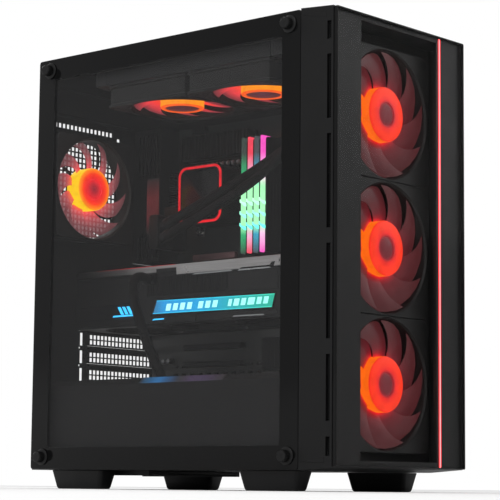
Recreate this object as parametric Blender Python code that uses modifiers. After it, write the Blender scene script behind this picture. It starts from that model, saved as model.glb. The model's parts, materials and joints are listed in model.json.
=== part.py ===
"""Desktop computer tower with a glass window side, built as an assembly of separate parts.

Case coordinates are used throughout: x runs from the outer face of the side glass to the plain side
panel, y from the outer face of the front glass to the rear, and z up from the underside of the chassis.
place() turns them into world coordinates, where the front faces -Y, the window faces -X, and the origin
is on the floor under the middle of the tower. Lengths are metres.
"""

import math
from dataclasses import dataclass

import bmesh
import bpy
from mathutils import Matrix, Vector

MM = 0.001

# --- driving sizes: casing -------------------------------------------------------------------------
BODY_WIDTH = 220.0 * MM
BODY_DEPTH = 436.0 * MM
BODY_HEIGHT = 463.6 * MM
FOOT_HEIGHT = 20.5 * MM
SHEET = 1.2 * MM
GLASS = 4.0 * MM
GAP = 0.3 * MM
EDGE_INSET = 0.8 * MM

BEZEL_DEPTH = 46.2 * MM
BEZEL_WALL = 2.2 * MM
BEZEL_FRONT_WALL = 4.0 * MM
BEZEL_TAPER = 3.1 * MM
INTAKE_LEFT = 45.0 * MM
INTAKE_RIGHT = 174.0 * MM
INTAKE_END_MARGIN = 10.0 * MM
STRIP_CENTRE_X = 180.0 * MM
STRIP_WIDTH = 4.0 * MM
STRIP_DEPTH = 2.2 * MM
STRIP_END_MARGIN = 5.0 * MM
SIDE_SLOT_DEPTH = 5.3 * MM
SIDE_SLOT_START = 6.8 * MM
SIDE_SLOT_SHORT = 18.6 * MM
SIDE_SLOT_MEDIUM = 65.0 * MM
SIDE_SLOT_LONG = 94.2 * MM
SIDE_SLOT_BRIDGE = 15.2 * MM
SIDE_SLOT_BOTTOM = 14.0 * MM
SIDE_SLOT_REACH = BEZEL_WALL + 1.1 * MM

LIP_HEIGHT = 24.0 * MM
TRAY_OFFSET = 21.7 * MM
SHROUD_HEIGHT = 98.0 * MM
SHROUD_SIDE_X = 8.0 * MM
SHROUD_CHAMFER = 6.0 * MM
PROCESSOR_OPENING = 100.0 * MM
CABLE_SLOT_WIDTH = 26.0 * MM
CABLE_SLOT_HEIGHT = 46.0 * MM
CABLE_SLOT_PITCH = 95.0 * MM
CABLE_SLOT_RISE = 30.0 * MM
CABLE_SLOT_AHEAD = 34.0 * MM

SCREW_HEAD_RADIUS = 6.2 * MM
SCREW_FLANGE_RADIUS = 9.0 * MM
SCREW_SHAFT_RADIUS = 2.3 * MM
SCREW_STANDOUT = 10.0 * MM
SCREW_FLANGE_THICKNESS = 2.2 * MM
SCREW_SHAFT_LENGTH = 7.2 * MM
SCREW_HOLE_RADIUS = SCREW_SHAFT_RADIUS + 0.6 * MM
SIDE_SCREW_FRONT_Y = 61.0 * MM
SIDE_SCREW_REAR_INSET = 21.0 * MM
SIDE_SCREW_END_INSET = 14.0 * MM
REAR_SCREW_X_INSET = 9.8 * MM
REAR_SCREW_END_INSET = 42.0 * MM
REAR_FLANGE_WIDTH = 16.0 * MM

FOOT_WIDTH = 26.0 * MM
FOOT_LENGTH = 79.0 * MM
FOOT_DRAFT_ACROSS = 0.72
FOOT_DRAFT_ALONG = 0.88
FOOT_ROUNDING = 5.0 * MM
FOOT_SIDE_INSET = 9.0 * MM
FOOT_FRONT_INSET = 54.8 * MM
FOOT_REAR_INSET = 25.5 * MM

# --- driving sizes: cooling ------------------------------------------------------------------------
FRONT_FAN_SIDE = 140.0 * MM
CASE_FAN_SIDE = 120.0 * MM
FAN_THICKNESS = 25.0 * MM
FAN_DUCT_MARGIN = 3.0 * MM
FAN_TIP_CLEARANCE = 1.5 * MM
FAN_HUB_SHARE = 0.43
FAN_HUB_START = 3.3 * MM
FAN_CORNER = 5.0 * MM
FAN_STRUT_WIDTH = 4.0 * MM
FAN_STRUT_DEPTH = 2.5 * MM
FAN_BEARING_DEPTH = 2.6 * MM
BLADE_THICKNESS = 1.6 * MM
BLADE_PITCH = math.radians(33.0)
ROTOR_SHAFT_RADIUS = 1.5 * MM
BEARING_HOLE_RADIUS = 1.9 * MM
FRONT_FAN_BOTTOM = 18.5 * MM
REAR_FAN_CENTRE_X = 68.0 * MM
REAR_FAN_DROP = 141.6 * MM
RADIATOR_CENTRE_X = 78.0 * MM
RADIATOR_FRONT = 83.7 * MM
RADIATOR_TANK = 19.0 * MM
RADIATOR_THICKNESS = 35.0 * MM
HOSE_RADIUS = 5.5 * MM
PORT_STUB = 3.5 * MM
RADIATOR_RECESS = 3.0 * MM
RADIATOR_SIDE_WALL = 8.0 * MM
PORT_X = (100.0 * MM, 66.0 * MM)
PORT_Y = 89.5 * MM

# --- driving sizes: board and cards ----------------------------------------------------------------
BOARD_THICKNESS = 1.6 * MM
BOARD_STANDOFF = 6.4 * MM
BOARD_HEIGHT = 305.0 * MM
BOARD_DEPTH = 244.0 * MM
BOARD_LIFT = 3.5 * MM
SLOT_PITCH = 20.32 * MM
SLOT_FIRST_ABOVE_BOARD_EDGE = 11.4 * MM
SLOT_INNER_X_INSET = 26.0 * MM
SLOT_LENGTH = 110.0 * MM
CARD_SLOTS = 3
COVER_SLOTS = 3
CARD_LENGTH = 310.0 * MM
CARD_OUTER_DROP = 126.0 * MM
CARD_THICKNESS = 63.2 * MM
CARD_ROTOR_PITCH = 99.5 * MM
CARD_ROTOR_RADIUS = 42.0 * MM
CARD_WELL_DEPTH = 18.0 * MM
CARD_EDGE_START = 76.0 * MM
CARD_EDGE_REACH = 11.7 * MM
BACKPLATE_THICKNESS = 1.7 * MM
BACKPLATE_FOLD = 10.0 * MM
BACKPLATE_SHALLOW_FOLD = 5.5 * MM
BACKPLATE_STEP_AT = 150.0 * MM
DISPLAY_SOCKET_FIRST = 26.0 * MM
DISPLAY_SOCKET_PITCH = 28.0 * MM
DISPLAY_SOCKET_WIDTH = 16.0 * MM
DISPLAY_SOCKET_HEIGHT = 6.0 * MM
DISPLAY_SOCKET_DROP = 16.0 * MM
MEMORY_LENGTH = 133.0 * MM
MEMORY_HEIGHT = 43.7 * MM
MEMORY_THICKNESS = 7.0 * MM
MEMORY_PITCH = 9.5 * MM
MEMORY_REAR_INSET = 183.0 * MM
MEMORY_ABOVE_EDGE = 141.5 * MM
PUMP_SIDE = 68.0 * MM
PUMP_HEIGHT = 49.7 * MM
PUMP_REAR_INSET = 89.0 * MM
PUMP_ABOVE_EDGE = 180.5 * MM
STUB_OUT = 16.0 * MM
STUB_BEHIND = 2.0 * MM
STUB_RISE = (0.5 * MM, -13.0 * MM)
STUB_SLOPE = 0.354
PORT_COVER_WIDTH = 32.7 * MM
PORT_COVER_DEPTH = 43.8 * MM
PORT_COVER_HEIGHT = 159.0 * MM

# --- driving sizes: power supply and top controls --------------------------------------------------
SUPPLY_WIDTH = 150.0 * MM
SUPPLY_HEIGHT = 86.0 * MM
SUPPLY_DEPTH = 150.0 * MM
SUPPLY_CENTRE_X = 110.0 * MM
SUPPLY_FAN_RADIUS = 56.0 * MM
SUPPLY_FAN_FROM_FRONT = 64.0 * MM
SUPPLY_BRIDGE_RISE = 22.5 * MM
SUPPLY_BRIDGE_WIDTH = 12.0 * MM
SUPPLY_BRIDGE_DEPTH = 4.0 * MM
SOCKET_WALL = 3.0 * MM
SOCKET_BORDER = 5.0 * MM
SWITCH_POCKET_DEPTH = 9.0 * MM
SWITCH_DEPTH = 6.0 * MM
INLET_WIDTH = 24.0 * MM
INLET_HEIGHT = 16.0 * MM
INLET_DEPTH = 14.0 * MM
INLET_X_OFFSET = -48.0 * MM
SWITCH_X_OFFSET = -22.0 * MM
SWITCH_WIDTH = 10.0 * MM
SWITCH_HEIGHT = 16.0 * MM
SWITCH_CLEARANCE = 1.5 * MM
SWITCH_PROUD = 1.2 * MM
SOCKET_Z = 60.0 * MM

TOP_FILTER_WIDTH = 180.0 * MM
TOP_FILTER_FRONT = 92.0 * MM
TOP_FILTER_LENGTH = 308.0 * MM
TOP_FILTER_THICKNESS = 1.5 * MM
TOP_FILTER_LEFT = 20.0 * MM
BOTTOM_FILTER_LENGTH = 149.0 * MM
BOTTOM_FILTER_THICKNESS = 3.2 * MM
RAIL_WIDTH = 2.7 * MM
RAIL_HEIGHT = 5.5 * MM
RAIL_LEDGE = 3.0 * MM
RAIL_LEDGE_THICKNESS = 1.5 * MM
FILTER_TAB_WIDTH = 40.0 * MM
FILTER_TAB_REACH = 6.0 * MM

PORT_PANEL_LEFT = 105.0 * MM
PORT_PANEL_WIDTH = 88.0 * MM
PORT_PANEL_FRONT = 54.0 * MM
PORT_PANEL_DEPTH = 24.0 * MM
PORT_PANEL_HEIGHT = 18.9 * MM
POWER_BUTTON_RADIUS = 6.0 * MM
RESET_BUTTON_RADIUS = 3.0 * MM
BUTTON_CLEARANCE = 0.35 * MM
BUTTON_TRAVEL = 1.5 * MM
BUTTON_PROUD = 0.7 * MM
BUTTON_LENGTH = 6.0 * MM
USB_WIDTH = 12.8 * MM
USB_HEIGHT = 5.4 * MM
USB_DEPTH = 12.0 * MM
PORT_PANEL_PROUD = 0.6 * MM
POWER_BUTTON_INSET = 12.0 * MM
RESET_BUTTON_INSET = 27.0 * MM
TOP_USB_INSET = 50.5 * MM
TOP_USB_PITCH = 18.0 * MM
AUDIO_JACK_INSET = 74.0 * MM
AUDIO_JACK_PITCH = 7.0 * MM
AUDIO_JACK_RADIUS = 1.8 * MM

# --- worked-out planes -----------------------------------------------------------------------------
CHASSIS_LEFT = GLASS + GAP
CHASSIS_RIGHT = BODY_WIDTH - SHEET - GAP
CHASSIS_FRONT = BEZEL_DEPTH + GAP
REAR_INNER = BODY_DEPTH - SHEET
INSIDE_REAR = REAR_INNER - GAP
CHASSIS_TOP = BODY_HEIGHT - 1.3 * MM
INSIDE_TOP = CHASSIS_TOP - SHEET - GAP
INSIDE_FRONT = CHASSIS_FRONT + SHEET + GAP
PANEL_REAR = BODY_DEPTH + GAP + SHEET
TRAY_X = BODY_WIDTH - TRAY_OFFSET
TRAY_BOTTOM = SHROUD_HEIGHT + GAP
BOARD_BACK = TRAY_X - GAP - BOARD_STANDOFF
BOARD_FACE = BOARD_BACK - BOARD_THICKNESS
BOARD_BOTTOM = SHROUD_HEIGHT + BOARD_LIFT
BOARD_REAR = INSIDE_REAR - 2.0 * MM
ON_BOARD = BOARD_FACE - GAP
FRONT_PLATE_REAR = CHASSIS_FRONT - GAP
FRONT_PLATE_FRONT = FRONT_PLATE_REAR - SHEET
FRONT_FAN_REAR = FRONT_PLATE_FRONT - GAP
BEZEL_INNER_END = BEZEL_TAPER + BEZEL_WALL
RADIATOR_TOP = INSIDE_TOP
RADIATOR_BOTTOM = RADIATOR_TOP - RADIATOR_THICKNESS
RADIATOR_FAN_TOP = RADIATOR_BOTTOM - GAP
RADIATOR_LENGTH = 2 * CASE_FAN_SIDE + 2 * RADIATOR_TANK
REAR_FAN_CENTRE_Z = BODY_HEIGHT - REAR_FAN_DROP
SLOT_INNER_X = BODY_WIDTH - SLOT_INNER_X_INSET
SLOT_OUTER_X = SLOT_INNER_X - SLOT_LENGTH
LOWEST_SLOT_Z = BOARD_BOTTOM + SLOT_FIRST_ABOVE_BOARD_EDGE
WINDOW_BOTTOM = LOWEST_SLOT_Z - SLOT_PITCH / 2
WINDOW_TOP = WINDOW_BOTTOM + SLOT_PITCH * (CARD_SLOTS + COVER_SLOTS)
CARD_TOP = WINDOW_TOP - 1.4 * MM
CARD_BOTTOM = CARD_TOP - CARD_THICKNESS
CARD_OUTER_X = BOARD_FACE - CARD_OUTER_DROP
CARD_REAR = INSIDE_REAR - 1.0 * MM
CARD_FRONT = CARD_REAR - CARD_LENGTH
CARD_CENTRE_X = CARD_OUTER_X + 57.0 * MM
SUPPLY_LEFT = SUPPLY_CENTRE_X - SUPPLY_WIDTH / 2
SUPPLY_RIGHT = SUPPLY_CENTRE_X + SUPPLY_WIDTH / 2
SUPPLY_FRONT = BODY_DEPTH - SUPPLY_DEPTH
SUPPLY_BOTTOM = SHEET + GAP
SUPPLY_TOP = SUPPLY_BOTTOM + SUPPLY_HEIGHT

CENTRE_X = (BODY_WIDTH - SCREW_STANDOUT) / 2
CENTRE_Y = (PANEL_REAR + SCREW_STANDOUT) / 2

# Each hose runs from its stub beside the pump up to its port under the radiator's front tank.
UPPER_HOSE = [(124, 349, 282.5), (124, 338, 286.4), (124, 300, 299.8), (124, 255, 315.6),
              (121.5, 210, 331.5), (114.5, 165, 347.3), (107.5, 130.9, 359.3), (104.7, 114.1, 368.3),
              (102.5, 100.9, 382), (100.8, 92.4, 399), (100, 89.5, 417.8), (100, 89.5, 421.8)]
LOWER_HOSE = [(124, 349, 269), (124, 338, 272.9), (124, 300, 286.3), (122.5, 255, 302.1),
              (115, 210, 318), (101, 165, 333.8), (85.5, 130.9, 345.8), (78.3, 114.1, 354.8),
              (72.4, 100.9, 368.5), (68.1, 92.4, 385.5), (66, 89.5, 404.3), (66, 89.5, 421.8)]
# The cable leaves the card's side, bends over and drops through the shroud into the power supply.
CARD_CABLE = [(63.6, 316, 211), (60, 316, 211), (52, 315.6, 212.4), (41, 314, 210.2), (32.2, 311, 202),
              (29.1, 307, 190), (29, 297, 165), (29.5, 286, 140), (30, 273, 116), (31, 262, 97),
              (33.5, 255, 80), (37, 257.5, 66), (42, 266, 58), (45.4, 276, 55.6),
              (46, 282, 55.5), (46, 285.5, 55.5)]
CABLE_HOLE_LOW = (18.0 * MM, 244.0 * MM)
CABLE_HOLE_HIGH = (50.0 * MM, 282.0 * MM)

FACING_FRONT = (math.pi / 2, 0.0, 0.0)
FACING_DOWN = (math.pi, 0.0, 0.0)
FACING_UP = (0.0, 0.0, 0.0)
FACING_LEFT = (0.0, -math.pi / 2, 0.0)
FACING_REAR = (-math.pi / 2, 0.0, 0.0)

FINISHES = {
    "black_steel": ((0.025, 0.025, 0.027), 0.45, 0.6),
    "black_plastic": ((0.022, 0.022, 0.024), 0.5, 0.0),
    "smoked_glass": ((0.05, 0.05, 0.055), 0.05, 0.0),
    "rubber": ((0.03, 0.03, 0.03), 0.8, 0.0),
    "fan_frame": ((0.03, 0.03, 0.03), 0.55, 0.0),
    "lit_blade": ((0.85, 0.12, 0.06), 0.35, 0.0),
    "light_bar": ((0.95, 0.25, 0.30), 0.3, 0.0),
    "black_aluminium": ((0.04, 0.04, 0.04), 0.4, 0.8),
    "silver_metal": ((0.55, 0.55, 0.56), 0.35, 0.9),
    "circuit_board": ((0.02, 0.03, 0.03), 0.5, 0.0),
    "memory_light": ((0.35, 0.75, 0.60), 0.3, 0.0),
    "filter_mesh": ((0.06, 0.06, 0.06), 0.7, 0.0),
}


@dataclass(frozen=True)
class FanSize:
    """Sizes of one kind of axial fan, in metres."""

    tip_radius: float
    hub_radius: float
    hub_start: float
    hub_end: float
    blades: int
    root_chord: float
    tip_chord: float
    blade_middle: float


def case_fan(side):
    """Sizes of a square case fan, from its side."""
    bore = side / 2 - FAN_DUCT_MARGIN
    return FanSize(bore - FAN_TIP_CLEARANCE, FAN_HUB_SHARE * bore, FAN_HUB_START, FAN_THICKNESS - 1.0 * MM, 9,
                   0.27 * bore, 0.44 * bore, FAN_THICKNESS / 2 + 0.8 * MM)


FRONT_FAN = case_fan(FRONT_FAN_SIDE)
CASE_FAN = case_fan(CASE_FAN_SIDE)
CARD_FAN = FanSize(CARD_ROTOR_RADIUS, 15.0 * MM, 1.0 * MM, 12.0 * MM, 9, 10.0 * MM, 20.0 * MM, 6.8 * MM)
SUPPLY_FAN = FanSize(SUPPLY_FAN_RADIUS, 21.0 * MM, 1.0 * MM, 19.0 * MM, 7, 17.0 * MM, 28.0 * MM, 11.0 * MM)


# --- building blocks -------------------------------------------------------------------------------
def place(point):
    """World position of a point in case coordinates."""
    return Vector((point[0] - CENTRE_X, point[1] - CENTRE_Y, point[2] + FOOT_HEIGHT))


def clear_scene():
    """Remove every object, so that the tower is alone in the scene."""
    for old in list(bpy.data.objects):
        bpy.data.objects.remove(old)


def collection(name):
    """The collection of that name, linked to the scene."""
    found = bpy.data.collections.get(name)
    if found is None:
        found = bpy.data.collections.new(name)
        bpy.context.scene.collection.children.link(found)
    return found


def finish(name):
    """The Principled material for one finish."""
    made = bpy.data.materials.get(name)
    if made is None:
        colour, roughness, metallic = FINISHES[name]
        made = bpy.data.materials.new(name)
        made.use_nodes = True
        shader = made.node_tree.nodes["Principled BSDF"]
        shader.inputs["Base Color"].default_value = (*colour, 1.0)
        shader.inputs["Roughness"].default_value = roughness
        shader.inputs["Metallic"].default_value = metallic
    return made


def add_part(name, data, look, position=(0.0, 0.0, 0.0), rotation=FACING_UP):
    """Link a mesh or curve as one named part of the tower."""
    part = bpy.data.objects.new(name, data)
    data.materials.append(finish(look))
    part.location = position
    part.rotation_euler = rotation
    collection("desktop_tower").objects.link(part)
    return part


def add_cutter(name, data, position=(0.0, 0.0, 0.0), rotation=FACING_UP):
    """Link a mesh as a hidden shape that only cuts or joins other parts."""
    tool = bpy.data.objects.new(name, data)
    tool.location = position
    tool.rotation_euler = rotation
    tool.hide_render = True
    tool.display_type = "WIRE"
    collection("cutters").objects.link(tool)
    return tool


def box_mesh(name, size, round_axis=None, radius=0.0, segments=3):
    """A box about its own centre, optionally with the four edges along one axis rounded."""
    mesh = bpy.data.meshes.new(name)
    shape = bmesh.new()
    bmesh.ops.create_cube(shape, size=1.0, matrix=Matrix.Diagonal((*size, 1.0)))
    if round_axis is not None:
        axis = "XYZ".index(round_axis)
        along = [e for e in shape.edges if abs(e.verts[0].co[axis] - e.verts[1].co[axis]) > size[axis] / 2]
        bmesh.ops.bevel(shape, geom=along, offset=radius, segments=segments, profile=0.5, affect="EDGES")
    shape.to_mesh(mesh)
    shape.free()
    return mesh


def cylinder_mesh(name, radius, start, end, sides=24):
    """A cylinder along local Z from start to end."""
    mesh = bpy.data.meshes.new(name)
    shape = bmesh.new()
    middle = Matrix.Translation((0.0, 0.0, (start + end) / 2))
    bmesh.ops.create_cone(shape, cap_ends=True, segments=sides, radius1=radius, radius2=radius,
                          depth=end - start, matrix=middle)
    shape.to_mesh(mesh)
    shape.free()
    return mesh


def block(name, low, high, look, **rounding):
    """A box part between two corners in case coordinates."""
    size = Vector(high) - Vector(low)
    centre = (Vector(high) + Vector(low)) / 2
    return add_part(name, box_mesh(name, size, **rounding), look, place(centre))


def block_tool(name, low, high, **rounding):
    """A box cutter between two corners in case coordinates."""
    size = Vector(high) - Vector(low)
    centre = (Vector(high) + Vector(low)) / 2
    return add_cutter(name, box_mesh(name, size, **rounding), place(centre))


def rod_tool(name, start, end, radius, sides=16):
    """A round cutter or joiner from one point to another in case coordinates."""
    run = Vector(end) - Vector(start)
    tool = add_cutter(name, cylinder_mesh(name, radius, 0.0, run.length, sides), place(start))
    tool.rotation_euler = run.to_track_quat("Z", "Y").to_euler()
    return tool


def apply_tool(part, tool, operation):
    """Add one exact Boolean to a part."""
    modifier = part.modifiers.new(f"{operation.lower()}_{tool.name}", "BOOLEAN")
    modifier.operation = operation
    modifier.solver = "EXACT"
    modifier.object = tool


def cut(part, *tools):
    """Take each tool's shape out of a part."""
    for tool in tools:
        apply_tool(part, tool, "DIFFERENCE")


def join(part, *tools):
    """Join each tool's shape to a part."""
    for tool in tools:
        apply_tool(part, tool, "UNION")


def turned_mesh(name, profile):
    """A turned solid: the (radius, height) profile runs from top to bottom on its outer side."""
    mesh = bpy.data.meshes.new(name)
    points = [(radius, 0.0, height) for radius, height in profile]
    mesh.from_pydata(points, [(i, i + 1) for i in range(len(points) - 1)], [])
    return mesh


def turned(name, profile, look, position, rotation, steps=12):
    """A turned part made with a Screw modifier about its local Z axis."""
    part = add_part(name, turned_mesh(name, profile), look, position, rotation)
    screw = part.modifiers.new("turn", "SCREW")
    screw.steps = steps
    screw.render_steps = steps
    screw.use_merge_vertices = True
    screw.merge_threshold = 0.00001
    return part


def smooth_route(points, per_span):
    """Points, in metres, of a smooth curve through points in millimetres.

    Each span is a cubic whose end directions weigh the neighbouring spans by their lengths, so that
    short and long spans join without a bulge.
    """
    knots = [Vector(p) * MM for p in points]
    spans = [end - start for start, end in zip(knots, knots[1:])]
    lengths = [span.length for span in spans]
    slopes = [span / length for span, length in zip(spans, lengths)]
    inner = [(slopes[i] * lengths[i + 1] + slopes[i + 1] * lengths[i]) / (lengths[i] + lengths[i + 1])
             for i in range(len(spans) - 1)]
    heading = [slopes[0], *inner, slopes[-1]]
    route = []
    for i, length in enumerate(lengths):
        for step in range(per_span):
            t = step / per_span
            route.append(knots[i] * (2 * t ** 3 - 3 * t ** 2 + 1) + knots[i + 1] * (3 * t ** 2 - 2 * t ** 3)
                         + heading[i] * length * (t ** 3 - 2 * t ** 2 + t)
                         + heading[i + 1] * length * (t ** 3 - t ** 2))
    route.append(knots[-1])
    return route


def cord(name, points, radius, look, per_span=3):
    """A round hose or cable along a smooth route through points in case millimetres."""
    curve = bpy.data.curves.new(name, "CURVE")
    curve.dimensions = "3D"
    curve.bevel_depth = radius
    curve.bevel_resolution = 2
    curve.use_fill_caps = True
    route = smooth_route(points, per_span)
    spline = curve.splines.new("POLY")
    spline.points.add(len(route) - 1)
    for knot, position in zip(spline.points, route):
        knot.co = (*place(position), 1.0)
    return add_part(name, curve, look)


# --- fans ------------------------------------------------------------------------------------------
def blade_set(name, size, position, rotation):
    """The blades of a rotor, as a joining tool: each blade is a flat pitched plate that widens outwards."""
    mesh = bpy.data.meshes.new(name)
    shape = bmesh.new()
    root = size.hub_radius - FAN_TIP_CLEARANCE
    for index in range(size.blades):
        turn = Matrix.Rotation(2 * math.pi * index / size.blades, 4, "Z")
        made = bmesh.ops.create_cube(shape, size=1.0)["verts"]
        for vertex in made:
            at_tip = vertex.co.x > 0
            chord = size.tip_chord if at_tip else size.root_chord
            radius = size.tip_radius * math.cos(math.asin(size.tip_chord / 2 / size.tip_radius)) - GAP
            flat = Vector((0.0, vertex.co.y * chord, vertex.co.z * BLADE_THICKNESS))
            flat.rotate(Matrix.Rotation(BLADE_PITCH, 3, "X"))
            flat.x = radius if at_tip else root
            flat.z += size.blade_middle
            vertex.co = turn @ flat
    bmesh.ops.recalc_face_normals(shape, faces=shape.faces)
    shape.to_mesh(mesh)
    shape.free()
    return add_cutter(name, mesh, position, rotation)


def rotor(name, size, centre, rotation, look):
    """A fan rotor: round hub, blades and a shaft that reaches back into the bearing."""
    position = place(centre)
    part = add_part(name, cylinder_mesh(name, size.hub_radius, size.hub_start, size.hub_end, 28), look,
                    position, rotation)
    shaft = cylinder_mesh(name + "_shaft", ROTOR_SHAFT_RADIUS, size.hub_start - FAN_BEARING_DEPTH,
                          size.hub_start + 1.0 * MM, 8)
    join(part, blade_set(name + "_blades", size, position, rotation))
    join(part, add_cutter(name + "_shaft", shaft, position, rotation))
    return part


def fan_frame(name, side, centre, rotation):
    """A square fan frame, its round duct, and the bearing disc on two crossed struts at its back."""
    position = place(centre)
    bore = side / 2 - FAN_DUCT_MARGIN
    hub = FAN_HUB_SHARE * bore - FAN_TIP_CLEARANCE
    strut = (2 * bore + 2.0 * MM, FAN_STRUT_WIDTH, FAN_STRUT_DEPTH)
    body = box_mesh(name, (side, side, FAN_THICKNESS), "Z", FAN_CORNER, 2)
    body.transform(Matrix.Translation((0.0, 0.0, FAN_THICKNESS / 2)))
    part = add_part(name, body, "fan_frame", position, rotation)
    duct = cylinder_mesh(name + "_duct", bore, -1.0 * MM, FAN_THICKNESS + 1.0 * MM, 40)
    cut(part, add_cutter(name + "_duct", duct, position, rotation))
    for index in range(2):
        bar = box_mesh(f"{name}_strut_{index}", strut)
        bar.transform(Matrix.Rotation(math.pi / 4 + index * math.pi / 2, 4, "Z")
                      @ Matrix.Translation((0.0, 0.0, strut[2] / 2 + 0.02 * MM * (1 + index))))
        join(part, add_cutter(bar.name, bar, position, rotation))
    disc = cylinder_mesh(name + "_bearing", hub, 0.0, FAN_BEARING_DEPTH, 28)
    hole = cylinder_mesh(name + "_hole", BEARING_HOLE_RADIUS, -1.0 * MM, FAN_BEARING_DEPTH + 1.4 * MM, 8)
    join(part, add_cutter(name + "_bearing", disc, position, rotation))
    cut(part, add_cutter(name + "_hole", hole, position, rotation))
    return part


def case_fan_pair(name, side, size, centre, rotation):
    """One fan: its frame and its rotor, both about the same centre of the frame's back face."""
    fan_frame(name.replace("#", "frame"), side, centre, rotation)
    rotor(name.replace("#", "rotor"), size, centre, rotation, "lit_blade")


# --- casing ----------------------------------------------------------------------------------------
def build_base():
    """Floor tray with lips at the front and sides, and the rails of the bottom filter."""
    base = block("chassis_base", (CHASSIS_LEFT, CHASSIS_FRONT, 0.0),
                 (CHASSIS_RIGHT, INSIDE_REAR, LIP_HEIGHT), "black_steel")
    cut(base, block_tool("base_hollow", (CHASSIS_LEFT + SHEET, CHASSIS_FRONT + SHEET, SHEET),
                         (CHASSIS_RIGHT - SHEET, BODY_DEPTH + SHEET, LIP_HEIGHT + SHEET)))
    for side in (-1, 1):
        inner, outer = filter_rail_x(side)
        ledge = inner - side * RAIL_LEDGE
        wall = block_tool(f"rail_wall_{side}", (min(inner, outer), filter_front(), -RAIL_HEIGHT),
                          (max(inner, outer), INSIDE_REAR - 0.5 * MM, SHEET / 2))
        shelf = block_tool(f"rail_ledge_{side}", (min(ledge, outer), filter_front(), -RAIL_HEIGHT - 0.02 * MM),
                           (max(ledge, outer), INSIDE_REAR - 0.6 * MM, RAIL_LEDGE_THICKNESS - RAIL_HEIGHT))
        join(base, wall, shelf)
    cut(base, *side_screw_holes("base", SIDE_SCREW_END_INSET))


def filter_half_width():
    """Half the width of the bottom filter: it runs between the rails, which run between the feet."""
    return BODY_WIDTH / 2 - FOOT_SIDE_INSET - FOOT_WIDTH - RAIL_WIDTH - 2 * GAP - 1.0 * MM


def filter_rail_x(side):
    """Inner and outer x of the rail on one side of the bottom filter."""
    inner = BODY_WIDTH / 2 + side * (filter_half_width() + GAP)
    return inner, inner + side * RAIL_WIDTH


def filter_front():
    """Front end of the bottom filter."""
    return INSIDE_REAR - BOTTOM_FILTER_LENGTH


def build_top():
    """Roof with lips at the front and sides, and the opening of the port panel."""
    top = block("chassis_top", (CHASSIS_LEFT, CHASSIS_FRONT, CHASSIS_TOP - LIP_HEIGHT),
                (CHASSIS_RIGHT, INSIDE_REAR, CHASSIS_TOP), "black_steel")
    cut(top, block_tool("top_hollow",
                        (CHASSIS_LEFT + SHEET, CHASSIS_FRONT + SHEET, CHASSIS_TOP - LIP_HEIGHT - SHEET),
                        (CHASSIS_RIGHT - SHEET, BODY_DEPTH + SHEET, CHASSIS_TOP - SHEET)))
    cut(top, block_tool("port_panel_opening",
                        (PORT_PANEL_LEFT - GAP, PORT_PANEL_FRONT - GAP, CHASSIS_TOP - 2 * SHEET),
                        (PORT_PANEL_LEFT + PORT_PANEL_WIDTH + GAP, PORT_PANEL_FRONT + PORT_PANEL_DEPTH + GAP,
                         CHASSIS_TOP + SHEET)))
    cut(top, *side_screw_holes("top", BODY_HEIGHT - SIDE_SCREW_END_INSET))


def side_screw_y():
    """The two y positions of the thumbscrews on the side glass."""
    return SIDE_SCREW_FRONT_Y, BODY_DEPTH - SIDE_SCREW_REAR_INSET


def side_screw_holes(name, z):
    """Holes for the thumbscrews of the side glass, through the chassis lips at one height."""
    holes = []
    for index, y in enumerate(side_screw_y()):
        holes.append(rod_tool(f"{name}_screw_hole_{index}", (-SHEET, y, z),
                              (CHASSIS_LEFT + 2 * SHEET, y, z), SCREW_HOLE_RADIUS, 12))
    return holes


def build_rear():
    """Rear sheet, open where the power supply, the slots and the rear ports come through."""
    rear = block("chassis_rear", (CHASSIS_LEFT, REAR_INNER, 0.0), (CHASSIS_RIGHT, BODY_DEPTH, CHASSIS_TOP),
                 "black_steel")
    behind = REAR_INNER - SHEET
    beyond = BODY_DEPTH + SHEET
    low, high = port_cover_corners()
    cut(rear,
        block_tool("supply_opening", (SUPPLY_LEFT - GAP, behind, -SHEET),
                   (SUPPLY_RIGHT + GAP, beyond, SUPPLY_TOP + GAP)),
        block_tool("slot_window", (SLOT_OUTER_X, behind, WINDOW_BOTTOM), (SLOT_INNER_X, beyond, WINDOW_TOP)),
        block_tool("port_opening", (low[0] - GAP, behind, low[2] - GAP),
                   (high[0] + GAP, beyond, high[2] + GAP)))
    for index, z in enumerate(rear_screw_z()):
        x = BODY_WIDTH - REAR_SCREW_X_INSET
        cut(rear, rod_tool(f"rear_screw_hole_{index}", (x, behind, z), (x, beyond, z), SCREW_HOLE_RADIUS, 12))


def rear_screw_z():
    """Heights of the two thumbscrews that hold the plain side panel."""
    return REAR_SCREW_END_INSET, BODY_HEIGHT - REAR_SCREW_END_INSET


def build_front():
    """Front sheet that carries the front fans."""
    inset = BEZEL_WALL + EDGE_INSET
    block("chassis_front", (inset, FRONT_PLATE_FRONT, BEZEL_INNER_END + GAP),
          (BODY_WIDTH - inset, FRONT_PLATE_REAR, BODY_HEIGHT - BEZEL_INNER_END - GAP), "black_steel")


def processor_window():
    """Low and high corners, in y and z, of the tray's opening behind the processor."""
    y = BOARD_REAR - PUMP_REAR_INSET - PUMP_SIDE / 2 + 2.0 * MM
    z = BOARD_BOTTOM + PUMP_ABOVE_EDGE + PUMP_SIDE / 2
    half = PROCESSOR_OPENING / 2
    return (y - half, z - half), (y + half, z + half)


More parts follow.
